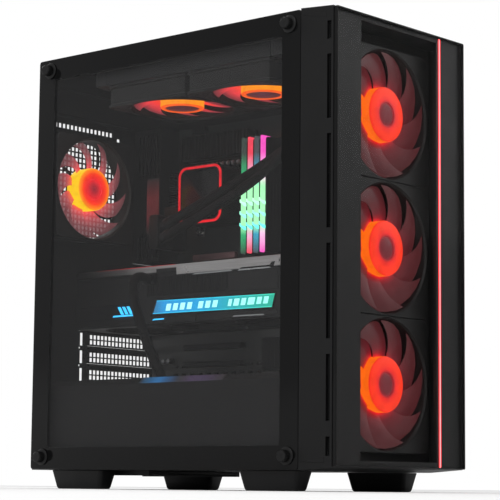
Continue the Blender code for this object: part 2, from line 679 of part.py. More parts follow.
def build_tray():
    """Sheet behind the board, with the processor opening and the cable slots in front of the board."""
    tray = block("motherboard_tray", (TRAY_X, INSIDE_FRONT, TRAY_BOTTOM),
                 (TRAY_X + SHEET, INSIDE_REAR, INSIDE_TOP), "black_steel")
    low, high = processor_window()
    cut(tray, block_tool("processor_opening", (TRAY_X - SHEET, *low), (TRAY_X + 2 * SHEET, *high),
                         round_axis="X", radius=8.0 * MM, segments=2))
    slot_y = BOARD_REAR - BOARD_DEPTH - CABLE_SLOT_AHEAD
    for index in range(3):
        z = BOARD_BOTTOM + CABLE_SLOT_RISE + CABLE_SLOT_PITCH * index
        cut(tray, block_tool(f"cable_slot_{index}", (TRAY_X - SHEET, slot_y, z),
                             (TRAY_X + 2 * SHEET, slot_y + CABLE_SLOT_WIDTH, z + CABLE_SLOT_HEIGHT),
                             round_axis="X", radius=6.0 * MM, segments=2))


def build_shroud():
    """Cover over the power supply: a folded sheet with a chamfered upper edge and a cable hole."""
    far = TRAY_X - GAP
    inner = SHEET * math.tan(math.radians(22.5))
    outline = [(SHROUD_SIDE_X, SHEET + GAP), (SHROUD_SIDE_X, SHROUD_HEIGHT - SHROUD_CHAMFER),
               (SHROUD_SIDE_X + SHROUD_CHAMFER, SHROUD_HEIGHT), (far, SHROUD_HEIGHT),
               (far, SHROUD_HEIGHT - SHEET), (SHROUD_SIDE_X + SHROUD_CHAMFER + inner, SHROUD_HEIGHT - SHEET),
               (SHROUD_SIDE_X + SHEET, SHROUD_HEIGHT - SHROUD_CHAMFER - inner),
               (SHROUD_SIDE_X + SHEET, SHEET + GAP)]
    front = INSIDE_FRONT
    length = INSIDE_REAR - front
    curve = bpy.data.curves.new("shroud_outline", "CURVE")
    curve.dimensions = "2D"
    curve.fill_mode = "BOTH"
    curve.extrude = length / 2
    spline = curve.splines.new("POLY")
    spline.points.add(len(outline) - 1)
    spline.use_cyclic_u = True
    for knot, (x, z) in zip(spline.points, outline):
        knot.co = (x, z, 0.0, 1.0)
    drawn = bpy.data.objects.new("shroud_outline", curve)
    collection("cutters").objects.link(drawn)
    drawn.rotation_euler = FACING_FRONT
    drawn.location = place((0.0, front + length / 2, 0.0))
    bpy.context.view_layer.update()
    solid = bpy.data.meshes.new_from_object(drawn.evaluated_get(bpy.context.evaluated_depsgraph_get()))
    solid.name = "power_shroud"
    weld = bmesh.new()
    weld.from_mesh(solid)
    bmesh.ops.remove_doubles(weld, verts=weld.verts, dist=0.00001)
    bmesh.ops.recalc_face_normals(weld, faces=weld.faces)
    weld.to_mesh(solid)
    weld.free()
    shroud = add_part("power_shroud", solid, "black_steel", drawn.location, FACING_FRONT)
    bpy.data.objects.remove(drawn)
    cut(shroud, block_tool("cable_hole", (*CABLE_HOLE_LOW, SHROUD_HEIGHT - 2 * SHEET),
                           (*CABLE_HOLE_HIGH, SHROUD_HEIGHT + SHEET),
                           round_axis="Z", radius=5.0 * MM, segments=2))


def thumbscrew(name, position, rotation):
    """Thumbscrew: knob on a wide flange, with its shaft; local Z points out of the panel."""
    profile = [(0.0, SCREW_STANDOUT), (SCREW_HEAD_RADIUS - 1.0 * MM, SCREW_STANDOUT),
               (SCREW_HEAD_RADIUS, SCREW_STANDOUT - 1.0 * MM),
               (SCREW_HEAD_RADIUS, SCREW_FLANGE_THICKNESS + GAP),
               (SCREW_FLANGE_RADIUS, SCREW_FLANGE_THICKNESS), (SCREW_FLANGE_RADIUS, GAP),
               (SCREW_SHAFT_RADIUS, GAP),
               (SCREW_SHAFT_RADIUS, -SCREW_SHAFT_LENGTH), (0.0, -SCREW_SHAFT_LENGTH)]
    turned(name, profile, "black_steel", position, rotation)


def build_side_glass():
    """Window side: tempered glass held by four thumbscrews."""
    glass = block("side_glass", (0.0, CHASSIS_FRONT + 0.5 * MM, EDGE_INSET),
                  (GLASS, REAR_INNER - EDGE_INSET, BODY_HEIGHT - EDGE_INSET), "smoked_glass",
                  round_axis="X", radius=3.0 * MM, segments=2)
    number = 0
    for z in (SIDE_SCREW_END_INSET, BODY_HEIGHT - SIDE_SCREW_END_INSET):
        for y in side_screw_y():
            number += 1
            cut(glass, rod_tool(f"glass_hole_{number}", (-SHEET, y, z), (GLASS + SHEET, y, z),
                                SCREW_HOLE_RADIUS, 12))
            thumbscrew(f"side_thumbscrew_{number}", place((0.0, y, z)), FACING_LEFT)


def build_side_panel():
    """Plain side: a sheet that folds round the rear edge, where two thumbscrews hold it."""
    low = (BODY_WIDTH - REAR_FLANGE_WIDTH, CHASSIS_FRONT, EDGE_INSET)
    panel = block("side_panel", low, (BODY_WIDTH, PANEL_REAR, BODY_HEIGHT - EDGE_INSET), "black_steel")
    cut(panel, block_tool("panel_hollow", (low[0] - SHEET, low[1] - SHEET, -SHEET),
                          (BODY_WIDTH - SHEET, PANEL_REAR - SHEET, BODY_HEIGHT + SHEET)))
    x = BODY_WIDTH - REAR_SCREW_X_INSET
    for index, z in enumerate(rear_screw_z()):
        cut(panel, rod_tool(f"panel_hole_{index}", (x, BODY_DEPTH - SHEET, z), (x, PANEL_REAR + SHEET, z),
                            SCREW_HOLE_RADIUS, 12))
        thumbscrew(f"rear_thumbscrew_{index + 1}", place((x, PANEL_REAR, z)), FACING_REAR)


def build_feet():
    """Four feet that narrow towards the floor."""
    number = 0
    for y in (FOOT_FRONT_INSET, BODY_DEPTH - FOOT_REAR_INSET - FOOT_LENGTH):
        for x in (FOOT_SIDE_INSET, BODY_WIDTH - FOOT_SIDE_INSET - FOOT_WIDTH):
            number += 1
            foot = block(f"foot_{number}", (x, y, -FOOT_HEIGHT),
                         (x + FOOT_WIDTH, y + FOOT_LENGTH, -GAP), "rubber",
                         round_axis="Z", radius=FOOT_ROUNDING, segments=2)
            for vertex in foot.data.vertices:
                if vertex.co.z < 0:
                    vertex.co.x *= FOOT_DRAFT_ACROSS
                    vertex.co.y *= FOOT_DRAFT_ALONG


def build_bezel():
    """Front bezel with its front opening, light groove and side intake slots, the glass and the strip."""
    front = GLASS + GAP
    bezel = block("front_bezel", (0.0, front, 0.0), (BODY_WIDTH, BEZEL_DEPTH, BODY_HEIGHT), "black_plastic")
    for vertex in bezel.data.vertices:
        if vertex.co.y < 0:
            vertex.co.z *= 1.0 - 2 * BEZEL_TAPER / BODY_HEIGHT
    cut(bezel,
        block_tool("bezel_hollow", (BEZEL_WALL, front + BEZEL_FRONT_WALL, BEZEL_INNER_END),
                   (BODY_WIDTH - BEZEL_WALL, BEZEL_DEPTH + SHEET, BODY_HEIGHT - BEZEL_INNER_END)),
        block_tool("bezel_opening", (INTAKE_LEFT, 0.0, INTAKE_END_MARGIN),
                   (INTAKE_RIGHT, 2 * BEZEL_FRONT_WALL + front, BODY_HEIGHT - INTAKE_END_MARGIN)),
        block_tool("strip_groove", (STRIP_CENTRE_X - STRIP_WIDTH / 2 - GAP, 0.0, STRIP_END_MARGIN - GAP),
                   (STRIP_CENTRE_X + STRIP_WIDTH / 2 + GAP, front + STRIP_DEPTH + GAP,
                    BODY_HEIGHT - STRIP_END_MARGIN + GAP)))
    bottom = SIDE_SLOT_BOTTOM
    for index, height in enumerate((SIDE_SLOT_SHORT, SIDE_SLOT_MEDIUM, SIDE_SLOT_LONG,
                                    SIDE_SLOT_LONG, SIDE_SLOT_MEDIUM, SIDE_SLOT_SHORT)):
        for side, x in (("left", 0.0), ("right", BODY_WIDTH)):
            cut(bezel, block_tool(f"slot_{side}_{index}", (x - SIDE_SLOT_REACH, SIDE_SLOT_START, bottom),
                                  (x + SIDE_SLOT_REACH, SIDE_SLOT_START + SIDE_SLOT_DEPTH, bottom + height)))
        bottom += height + SIDE_SLOT_BRIDGE
    block("front_glass", (EDGE_INSET, 0.0, BEZEL_TAPER + EDGE_INSET / 2),
          (BODY_WIDTH - EDGE_INSET, GLASS, BODY_HEIGHT - BEZEL_TAPER - EDGE_INSET / 2), "smoked_glass",
          round_axis="Y", radius=1.5 * MM, segments=2)
    block("light_strip", (STRIP_CENTRE_X - STRIP_WIDTH / 2, front, STRIP_END_MARGIN),
          (STRIP_CENTRE_X + STRIP_WIDTH / 2, front + STRIP_DEPTH, BODY_HEIGHT - STRIP_END_MARGIN), "light_bar")


# --- cooling ---------------------------------------------------------------------------------------
def build_case_fans():
    """Three front fans, the rear fan, and the two under the radiator."""
    for index in range(3):
        z = FRONT_FAN_BOTTOM + FRONT_FAN_SIDE * (index + 0.5)
        case_fan_pair(f"front_fan_#_{index + 1}", FRONT_FAN_SIDE - GAP, FRONT_FAN,
                      (BODY_WIDTH / 2, FRONT_FAN_REAR, z), FACING_FRONT)
    case_fan_pair("rear_fan_#", CASE_FAN_SIDE, CASE_FAN, (REAR_FAN_CENTRE_X, INSIDE_REAR, REAR_FAN_CENTRE_Z),
                  FACING_FRONT)
    for index in range(2):
        y = RADIATOR_FRONT + RADIATOR_TANK + CASE_FAN_SIDE * (index + 0.5)
        case_fan_pair(f"radiator_fan_#_{index + 1}", CASE_FAN_SIDE - GAP, CASE_FAN,
                      (RADIATOR_CENTRE_X, y, RADIATOR_FAN_TOP), FACING_DOWN)


def build_radiator():
    """Radiator under the roof: finned core between two tanks, with two hose ports below the front tank."""
    left = RADIATOR_CENTRE_X - CASE_FAN_SIDE / 2
    right = RADIATOR_CENTRE_X + CASE_FAN_SIDE / 2
    rear = RADIATOR_FRONT + RADIATOR_LENGTH
    radiator = block("radiator", (left, RADIATOR_FRONT, RADIATOR_BOTTOM), (right, rear, RADIATOR_TOP),
                     "black_aluminium")
    for name, face in (("radiator_lower_recess", RADIATOR_BOTTOM), ("radiator_upper_recess", RADIATOR_TOP)):
        cut(radiator, block_tool(name, (left + RADIATOR_SIDE_WALL, RADIATOR_FRONT + RADIATOR_TANK,
                                        face - RADIATOR_RECESS),
                                 (right - RADIATOR_SIDE_WALL, rear - RADIATOR_TANK, face + RADIATOR_RECESS)))
    for index, x in enumerate(PORT_X):
        join(radiator, rod_tool(f"radiator_port_{index}", (x, PORT_Y, RADIATOR_BOTTOM + RADIATOR_RECESS),
                                (x, PORT_Y, RADIATOR_BOTTOM - PORT_STUB), HOSE_RADIUS, 12))


def build_pump():
    """Pump on the processor, with the swivel block at its side and the stubs that the hoses push onto."""
    outer = ON_BOARD - PUMP_HEIGHT
    front = BOARD_REAR - PUMP_REAR_INSET - PUMP_SIDE + 3.5 * MM
    bottom = BOARD_BOTTOM + PUMP_ABOVE_EDGE
    rear = front + PUMP_SIDE
    pump = block("pump_block", (outer, front, bottom), (ON_BOARD, rear, bottom + PUMP_SIDE), "black_plastic",
                 round_axis="X", radius=12.0 * MM, segments=3)
    join(pump,
         block_tool("pump_side", (outer + 1.5 * MM, rear - 14.0 * MM, bottom + 8.0 * MM),
                    (outer + 25.0 * MM, rear + 23.0 * MM, bottom + 24.0 * MM)),
         block_tool("pump_riser", (outer + 1.6 * MM, rear + 8.0 * MM, bottom - 28.0 * MM),
                    (outer + 24.8 * MM, rear + 22.8 * MM, bottom + 20.0 * MM)),
         block_tool("pump_arm", (outer - 24.0 * MM, rear + 8.2 * MM, bottom - 27.8 * MM),
                    (outer + 10.0 * MM, rear + 22.6 * MM, bottom + 12.0 * MM)))
    run = Vector((0.0, -1.0, STUB_SLOPE)).normalized()
    for index, rise in enumerate(STUB_RISE):
        end = Vector((outer - STUB_OUT, rear + STUB_BEHIND, bottom + rise))
        join(pump, rod_tool(f"pump_stub_{index}", end - run * 14.0 * MM, end - run * GAP, HOSE_RADIUS, 12))


def build_hoses():
    """The two coolant hoses."""
    cord("coolant_hose_1", UPPER_HOSE, HOSE_RADIUS, "rubber")
    cord("coolant_hose_2", LOWER_HOSE, HOSE_RADIUS, "rubber")


# --- board and cards -------------------------------------------------------------------------------
def board_point(x_above_face, rear_inset, above_edge):
    """Case coordinates of a point on the board: height above its face, and distances from its edges."""
    return (BOARD_FACE - x_above_face, BOARD_REAR - rear_inset, BOARD_BOTTOM + above_edge)


def on_board(name, height, rear_near, rear_far, low, high):
    """A box that stands on the board, as a joining tool."""
    near = board_point(height, rear_far, low)
    far = board_point(-BOARD_THICKNESS / 2, rear_near, high)
    return block_tool(name, near, far)


def build_motherboard():
    """Main board with its standoffs and heatsinks as one solid."""
    board = block("motherboard", (BOARD_FACE, BOARD_REAR - BOARD_DEPTH, BOARD_BOTTOM),
                  (BOARD_BACK, BOARD_REAR, BOARD_BOTTOM + BOARD_HEIGHT), "circuit_board")
    join(board,
         on_board("heatsink_side", 22.0 * MM, 45.0 * MM, 66.0 * MM, 199.0 * MM, 252.0 * MM),
         on_board("heatsink_top", 22.2 * MM, 60.0 * MM, 168.0 * MM, 262.0 * MM, 291.0 * MM),
         on_board("heatsink_drive", 6.0 * MM, 46.0 * MM, 160.0 * MM, 130.0 * MM, 142.0 * MM),
         on_board("heatsink_chipset", 9.0 * MM, 180.0 * MM, 232.0 * MM, 12.0 * MM, 50.0 * MM))
    for row in range(3):
        for column in range(2):
            start = board_point(-BOARD_THICKNESS / 2, (9.0 + 215.0 * column) * MM, (8.0 + 142.0 * row) * MM)
            end = (TRAY_X - GAP, start[1], start[2])
            join(board, rod_tool(f"standoff_{row}_{column}", start, end, 3.0 * MM, 6))


def port_cover_corners():
    """Low and high corners of the cover over the rear ports."""
    low = (ON_BOARD - PORT_COVER_WIDTH, BODY_DEPTH - PORT_COVER_DEPTH, BOARD_BOTTOM + 144.5 * MM)
    return low, (ON_BOARD, BODY_DEPTH, low[2] + PORT_COVER_HEIGHT)


def build_port_cover():
    """Cover over the rear ports, with the sockets in its rear face."""
    low, high = port_cover_corners()
    cover = block("port_cover", low, high, "black_plastic")
    middle = (low[0] + high[0]) / 2
    for name, width, height, rise in (("network_socket", 13.0, 12.0, 118.0), ("rear_usb_1", 6.0, 13.6, 96.0),
                                      ("rear_usb_2", 6.0, 13.6, 76.0), ("rear_usb_3", 6.0, 13.6, 56.0),
                                      ("rear_usb_4", 6.0, 13.6, 36.0)):
        centre = Vector((middle, 0.0, low[2] + rise * MM))
        half = Vector((width, 0.0, height)) * MM / 2
        cut(cover, block_tool(name, (centre.x - half.x, BODY_DEPTH - USB_DEPTH, centre.z - half.z),
                              (centre.x + half.x, BODY_DEPTH + SHEET, centre.z + half.z)))


def build_memory():
    """Four memory sticks side by side."""
    for index in range(4):
        y = BODY_DEPTH - MEMORY_REAR_INSET - index * MEMORY_PITCH
        z = BOARD_BOTTOM + MEMORY_ABOVE_EDGE
        block(f"memory_stick_{index + 1}", (ON_BOARD - MEMORY_HEIGHT, y - MEMORY_THICKNESS / 2, z),
              (ON_BOARD, y + MEMORY_THICKNESS / 2, z + MEMORY_LENGTH), "memory_light")


def card_rotor_y():
    """The y positions of the graphics card's three fans."""
    middle = (CARD_FRONT + CARD_REAR) / 2
    return [middle + (index - 1) * CARD_ROTOR_PITCH for index in range(3)]


def build_graphics_card():
    """Graphics card: cooler with three fan wells, board edge, bracket with its sockets, and backplate."""
    body_inner = ON_BOARD - CARD_EDGE_REACH
    card = block("graphics_card", (CARD_OUTER_X, CARD_FRONT, CARD_BOTTOM), (body_inner, CARD_REAR, CARD_TOP),
                 "black_plastic")
    bracket_low = (SLOT_OUTER_X + GAP, REAR_INNER, WINDOW_TOP - CARD_SLOTS * SLOT_PITCH + GAP / 2)
    bracket_high = (SLOT_INNER_X - GAP, BODY_DEPTH, WINDOW_TOP - GAP)
    join(card,
         block_tool("card_edge", (body_inner - 4.0 * MM, CARD_FRONT + CARD_EDGE_START, CARD_TOP - 4.2 * MM),
                    (ON_BOARD, CARD_REAR - 14.0 * MM, CARD_TOP - 2.6 * MM)),
         block_tool("card_neck", (SLOT_OUTER_X + 1.0 * MM, CARD_REAR - 3.0 * MM, bracket_low[2] + 2.0 * MM),
                    (body_inner - 1.0 * MM, BODY_DEPTH - SHEET / 2, bracket_high[2] - 2.0 * MM)),
         block_tool("card_bracket", bracket_low, bracket_high))
    well_top = CARD_BOTTOM + CARD_WELL_DEPTH
    for index, y in enumerate(card_rotor_y()):
        cut(card, rod_tool(f"card_well_{index}", (CARD_CENTRE_X, y, CARD_BOTTOM - 1.0 * MM),
                           (CARD_CENTRE_X, y, well_top), CARD_ROTOR_RADIUS + FAN_DUCT_MARGIN, 32),
            rod_tool(f"card_bearing_{index}", (CARD_CENTRE_X, y, well_top - 1.0 * MM),
                     (CARD_CENTRE_X, y, well_top + 5.0 * MM), BEARING_HOLE_RADIUS, 8))
        rotor(f"graphics_fan_rotor_{index + 1}", CARD_FAN, (CARD_CENTRE_X, y, well_top),
              FACING_DOWN, "black_plastic")
    for index in range(3):
        x = SLOT_OUTER_X + DISPLAY_SOCKET_FIRST + DISPLAY_SOCKET_PITCH * index
        z = bracket_high[2] - DISPLAY_SOCKET_DROP
        cut(card, block_tool(f"display_socket_{index}", (x, BODY_DEPTH - USB_DEPTH, z),
                             (x + DISPLAY_SOCKET_WIDTH, BODY_DEPTH + SHEET, z + DISPLAY_SOCKET_HEIGHT)))
    build_backplate(body_inner)


def build_backplate(body_inner):
    """Metal backplate: it lies on the card and folds down over its outer side, deeper towards the front."""
    outer = CARD_OUTER_X - GAP - BACKPLATE_THICKNESS
    below = CARD_TOP - 2 * BACKPLATE_FOLD
    plate = block("graphics_backplate", (outer, CARD_FRONT, CARD_TOP + GAP - BACKPLATE_FOLD),
                  (body_inner, CARD_REAR - 2.0 * MM, CARD_TOP + GAP + BACKPLATE_THICKNESS), "silver_metal")
    cut(plate,
        block_tool("backplate_hollow", (outer + BACKPLATE_THICKNESS, CARD_FRONT - SHEET, below),
                   (body_inner + SHEET, CARD_REAR + SHEET, CARD_TOP + GAP)),
        block_tool("backplate_step", (outer - SHEET, CARD_FRONT + BACKPLATE_STEP_AT, below),
                   (outer + BACKPLATE_THICKNESS + SHEET, CARD_REAR + SHEET,
                    CARD_TOP - BACKPLATE_SHALLOW_FOLD)))


def build_slot_covers():
    """Covers of the unused slots below the graphics card."""
    for index in range(COVER_SLOTS):
        z = WINDOW_BOTTOM + SLOT_PITCH * (COVER_SLOTS - 1 - index)
        block(f"slot_cover_{index + 1}", (SLOT_OUTER_X + GAP, REAR_INNER, z + GAP / 2),
              (SLOT_INNER_X - GAP, BODY_DEPTH, z + SLOT_PITCH - GAP / 2), "black_steel")


def build_card_cable():
    """Power cable of the graphics card."""
    cord("graphics_cable", CARD_CABLE, HOSE_RADIUS, "rubber", per_span=2)


# --- power supply, filters and controls ------------------------------------------------------------
def build_power_supply():
    """Power supply: hollow steel box, fan in its floor, inlet and switch in its rear face."""
    supply = block("power_supply", (SUPPLY_LEFT, SUPPLY_FRONT, SUPPLY_BOTTOM),
                   (SUPPLY_RIGHT, BODY_DEPTH, SUPPLY_TOP), "black_steel")
    fan_y = SUPPLY_FRONT + SUPPLY_FAN_FROM_FRONT
    bridge = SUPPLY_BOTTOM + SUPPLY_BRIDGE_RISE
    inlet_x = SUPPLY_CENTRE_X + INLET_X_OFFSET
    switch_x = SUPPLY_CENTRE_X + SWITCH_X_OFFSET
    cut(supply, block_tool("supply_hollow", (SUPPLY_LEFT + SHEET, SUPPLY_FRONT + SHEET, SUPPLY_BOTTOM + SHEET),
                           (SUPPLY_RIGHT - SHEET, BODY_DEPTH - SHEET, SUPPLY_TOP - SHEET)))
    join(supply,
         block_tool("supply_bridge", (SUPPLY_LEFT + SHEET / 2, fan_y - SUPPLY_BRIDGE_WIDTH / 2, bridge),
                    (SUPPLY_RIGHT - SHEET / 2, fan_y + SUPPLY_BRIDGE_WIDTH / 2, bridge + SUPPLY_BRIDGE_DEPTH)),
         block_tool("supply_socket",
                    (inlet_x - INLET_WIDTH / 2 - SOCKET_WALL, BODY_DEPTH - INLET_DEPTH - SOCKET_WALL,
                     SOCKET_Z - SWITCH_HEIGHT / 2 - SOCKET_BORDER),
                    (switch_x + SWITCH_WIDTH / 2 + SOCKET_BORDER, BODY_DEPTH - SHEET / 2,
                     SOCKET_Z + SWITCH_HEIGHT / 2 + SOCKET_BORDER)))
    pocket_x = SWITCH_WIDTH / 2 + 0.5 * MM
    pocket_z = SWITCH_HEIGHT / 2 + SWITCH_CLEARANCE
    cut(supply,
        rod_tool("supply_fan_hole", (SUPPLY_CENTRE_X, fan_y, SUPPLY_BOTTOM - SHEET),
                 (SUPPLY_CENTRE_X, fan_y, SUPPLY_BOTTOM + 2 * SHEET), SUPPLY_FAN_RADIUS + 2.0 * MM, 32),
        rod_tool("supply_bearing", (SUPPLY_CENTRE_X, fan_y, bridge - 1.0 * MM),
                 (SUPPLY_CENTRE_X, fan_y, bridge + SUPPLY_BRIDGE_DEPTH + 1.0 * MM), BEARING_HOLE_RADIUS, 8),
        block_tool("inlet_recess",
                   (inlet_x - INLET_WIDTH / 2, BODY_DEPTH - INLET_DEPTH, SOCKET_Z - INLET_HEIGHT / 2),
                   (inlet_x + INLET_WIDTH / 2, BODY_DEPTH + SHEET, SOCKET_Z + INLET_HEIGHT / 2)),
        block_tool("switch_pocket", (switch_x - pocket_x, BODY_DEPTH - SWITCH_POCKET_DEPTH, SOCKET_Z - pocket_z),
                   (switch_x + pocket_x, BODY_DEPTH + SHEET, SOCKET_Z + pocket_z)))
    rotor("power_supply_rotor", SUPPLY_FAN, (SUPPLY_CENTRE_X, fan_y, bridge), FACING_DOWN, "black_plastic")
    block("power_supply_switch",
          (switch_x - SWITCH_WIDTH / 2, BODY_DEPTH - SWITCH_DEPTH, SOCKET_Z - SWITCH_HEIGHT / 2),
          (switch_x + SWITCH_WIDTH / 2, BODY_DEPTH + SWITCH_PROUD, SOCKET_Z + SWITCH_HEIGHT / 2),
          "black_plastic", round_axis="X", radius=2.0 * MM, segments=2)


def build_filters():
    """Dust filters: one lies on the roof, one slides in below the power supply and ends in a pull tab."""
    block("top_dust_filter", (TOP_FILTER_LEFT, TOP_FILTER_FRONT, CHASSIS_TOP + GAP),
          (TOP_FILTER_LEFT + TOP_FILTER_WIDTH, TOP_FILTER_FRONT + TOP_FILTER_LENGTH,
           CHASSIS_TOP + GAP + TOP_FILTER_THICKNESS), "filter_mesh",
          round_axis="Z", radius=6.0 * MM, segments=2)
    half = filter_half_width()
    bottom = block("bottom_dust_filter", (BODY_WIDTH / 2 - half, filter_front(), -GAP - BOTTOM_FILTER_THICKNESS),
                   (BODY_WIDTH / 2 + half, INSIDE_REAR, -GAP), "filter_mesh")
    join(bottom, block_tool("filter_tab", (BODY_WIDTH / 2 - FILTER_TAB_WIDTH / 2, INSIDE_REAR - 4.0 * MM,
                                           -GAP - BOTTOM_FILTER_THICKNESS + 0.2 * MM),
                            (BODY_WIDTH / 2 + FILTER_TAB_WIDTH / 2, BODY_DEPTH + FILTER_TAB_REACH,
                             -GAP - 0.2 * MM)))


def build_controls():
    """Port panel in the roof with its sockets, and the power and reset buttons."""
    top = CHASSIS_TOP + PORT_PANEL_PROUD
    right = PORT_PANEL_LEFT + PORT_PANEL_WIDTH
    y = PORT_PANEL_FRONT + PORT_PANEL_DEPTH / 2
    panel = block("top_port_panel", (PORT_PANEL_LEFT, PORT_PANEL_FRONT, top - PORT_PANEL_HEIGHT),
                  (right, PORT_PANEL_FRONT + PORT_PANEL_DEPTH, top), "black_plastic",
                  round_axis="Z", radius=2.0 * MM, segments=2)
    floor = top + BUTTON_PROUD - BUTTON_LENGTH - BUTTON_TRAVEL - GAP
    for name, x, radius, sides in (("power_button", right - POWER_BUTTON_INSET, POWER_BUTTON_RADIUS, 24),
                                   ("reset_button", right - RESET_BUTTON_INSET, RESET_BUTTON_RADIUS, 16)):
        cut(panel, rod_tool(name + "_well", (x, y, floor), (x, y, top + SHEET),
                            radius + BUTTON_CLEARANCE, sides))
        low = top + BUTTON_PROUD - BUTTON_LENGTH
        add_part(name, cylinder_mesh(name, radius, 0.0, BUTTON_LENGTH, sides), "black_plastic",
                 place((x, y, low)))
    for index in range(2):
        x = right - TOP_USB_INSET - TOP_USB_PITCH * index
        cut(panel, block_tool(f"top_usb_{index}", (x, y - USB_HEIGHT / 2, top - USB_DEPTH),
                              (x + USB_WIDTH, y + USB_HEIGHT / 2, top + SHEET)))
    for index in range(2):
        x = right - AUDIO_JACK_INSET - AUDIO_JACK_PITCH * index
        cut(panel, rod_tool(f"audio_jack_{index}", (x, y, top - USB_DEPTH), (x, y, top + SHEET),
                            AUDIO_JACK_RADIUS, 12))


def main():
    """Build the whole tower."""
    clear_scene()
    build_base()
    build_top()
    build_rear()
    build_front()
    build_tray()
    build_shroud()
    build_side_glass()
    build_side_panel()
    build_feet()
    build_bezel()
    build_case_fans()
    build_radiator()
    build_pump()
    build_hoses()
    build_motherboard()
    build_port_cover()
    build_memory()
    build_graphics_card()
    build_slot_covers()
    build_card_cable()
    build_power_supply()
    build_filters()
    build_controls()


main()
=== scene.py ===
"""Looks of the desktop tower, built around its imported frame.

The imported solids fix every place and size: each class below reads the boxes of the solids it dresses,
works out its surfaces as numpy arrays, and gives them procedural finishes. Lengths are metres, the front
faces -Y, the window faces -X and the floor is at z = 0.
"""
import json
import logging
import math
from dataclasses import dataclass, field
from enum import Enum
from typing import Any, Sequence

import bpy
import numpy as np
from mathutils import Matrix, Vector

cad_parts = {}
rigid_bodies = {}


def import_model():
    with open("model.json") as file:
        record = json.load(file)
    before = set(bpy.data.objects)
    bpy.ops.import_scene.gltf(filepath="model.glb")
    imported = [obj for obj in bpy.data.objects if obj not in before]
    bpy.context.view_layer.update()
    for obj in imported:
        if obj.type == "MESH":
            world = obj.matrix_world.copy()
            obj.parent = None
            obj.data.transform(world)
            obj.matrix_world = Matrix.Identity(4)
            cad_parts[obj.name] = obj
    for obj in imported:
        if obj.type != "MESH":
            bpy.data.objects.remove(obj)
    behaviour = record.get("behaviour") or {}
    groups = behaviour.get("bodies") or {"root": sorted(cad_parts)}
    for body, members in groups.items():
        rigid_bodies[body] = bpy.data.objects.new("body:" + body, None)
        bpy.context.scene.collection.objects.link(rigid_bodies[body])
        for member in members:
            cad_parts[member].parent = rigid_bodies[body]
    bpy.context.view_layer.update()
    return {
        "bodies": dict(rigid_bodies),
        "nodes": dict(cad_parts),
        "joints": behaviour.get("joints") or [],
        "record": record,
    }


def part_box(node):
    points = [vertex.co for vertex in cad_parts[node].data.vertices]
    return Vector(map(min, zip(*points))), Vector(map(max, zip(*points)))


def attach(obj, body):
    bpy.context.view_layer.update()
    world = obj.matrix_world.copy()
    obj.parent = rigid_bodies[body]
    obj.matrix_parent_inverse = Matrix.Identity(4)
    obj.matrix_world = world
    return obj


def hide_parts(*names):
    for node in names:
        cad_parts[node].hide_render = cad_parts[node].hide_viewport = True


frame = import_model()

log = logging.getLogger("desktop_tower")

Array = np.ndarray
Colour = tuple[float, float, float]
Point = tuple[float, float, float]

MM = 0.001
SMALLEST = 1e-9


class Axis(Enum):
    """The direction that a flat piece faces, as the index of its thin axis."""

    X = 0
    Y = 1
    Z = 2

    @property
    def plane(self) -> tuple[int, int]:
        """The two other axes, in X, Y, Z order."""
        first, second = (i for i in range(3) if i != self.value)
        return first, second


# --- shapes ----------------------------------------------------------------------------------------
@dataclass
class Shape:
    """One or more closed shells: their points, their faces, and the texture place of each face corner."""

    points: Array
    faces: list[Array]
    uv: Array | None = None

    def moved(self, by: Sequence[float]) -> "Shape":
        """The same shape, shifted."""
        return Shape(self.points + np.asarray(by, float), self.faces, self.uv)

    def mapped(self, matrix: Array) -> "Shape":
        """The shape turned by a 3 x 3 matrix, its faces turned round if the matrix mirrors."""
        faces = self.faces if np.linalg.det(matrix) > 0 else [f[:, ::-1] for f in self.faces]
        return Shape(self.points @ np.asarray(matrix, float).T, faces, self.uv)


def outward(shape: Shape) -> Shape:
    """Turn a closed shell's faces outwards.

    The volume is the sum over fanned triangles of a . (b x c) / 6; a negative one means inside out.

    Args:
        shape: one closed shell.

    Returns:
        The shell with its faces pointing away from it.
    """
    centre = shape.points.mean(axis=0)
    volume = 0.0
    for face in shape.faces:
        corner = shape.points[face] - centre
        for k in range(1, face.shape[1] - 1):
            volume += float(np.einsum("ij,ij->i", corner[:, 0],
                                      np.cross(corner[:, k], corner[:, k + 1])).sum())
    if volume >= 0:
        return shape
    return Shape(shape.points, [face[:, ::-1] for face in shape.faces], shape.uv)


def joined(*shapes: Shape) -> Shape:
    """Several shapes as one, each keeping its own shells."""
    offset = 0
    points, faces = [], []
    for shape in shapes:
        points.append(shape.points)
        faces.extend(face + offset for face in shape.faces)
        offset += len(shape.points)
    return Shape(np.concatenate(points), faces)


def copies(shape: Shape, places: Array) -> Shape:
    """The same shape at each of several places.

    Args:
        shape: the shape to repeat.
        places: one shift per copy, as rows.

    Returns:
        All the copies as one shape.
    """
    places = np.asarray(places, float).reshape(-1, 3)
    count, size = len(places), len(shape.points)
    points = (shape.points[None] + places[:, None]).reshape(-1, 3)
    steps = (np.arange(count) * size)[:, None, None]
    return Shape(points, [(face[None] + steps).reshape(-1, face.shape[1]) for face in shape.faces])


def grid_quads(rows: int, columns: int, loop_rows: bool = False) -> Array:
    """Faces of a grid whose rows are closed rings: each face joins neighbours along and across the rows."""
    i, j = np.meshgrid(np.arange(rows if loop_rows else rows - 1), np.arange(columns), indexing="ij")
    below, beside = (i + 1) % rows, (j + 1) % columns
    quads = np.stack([i * columns + j, i * columns + beside, below * columns + beside, below * columns + j],
                     -1)
    return quads.reshape(-1, 4)


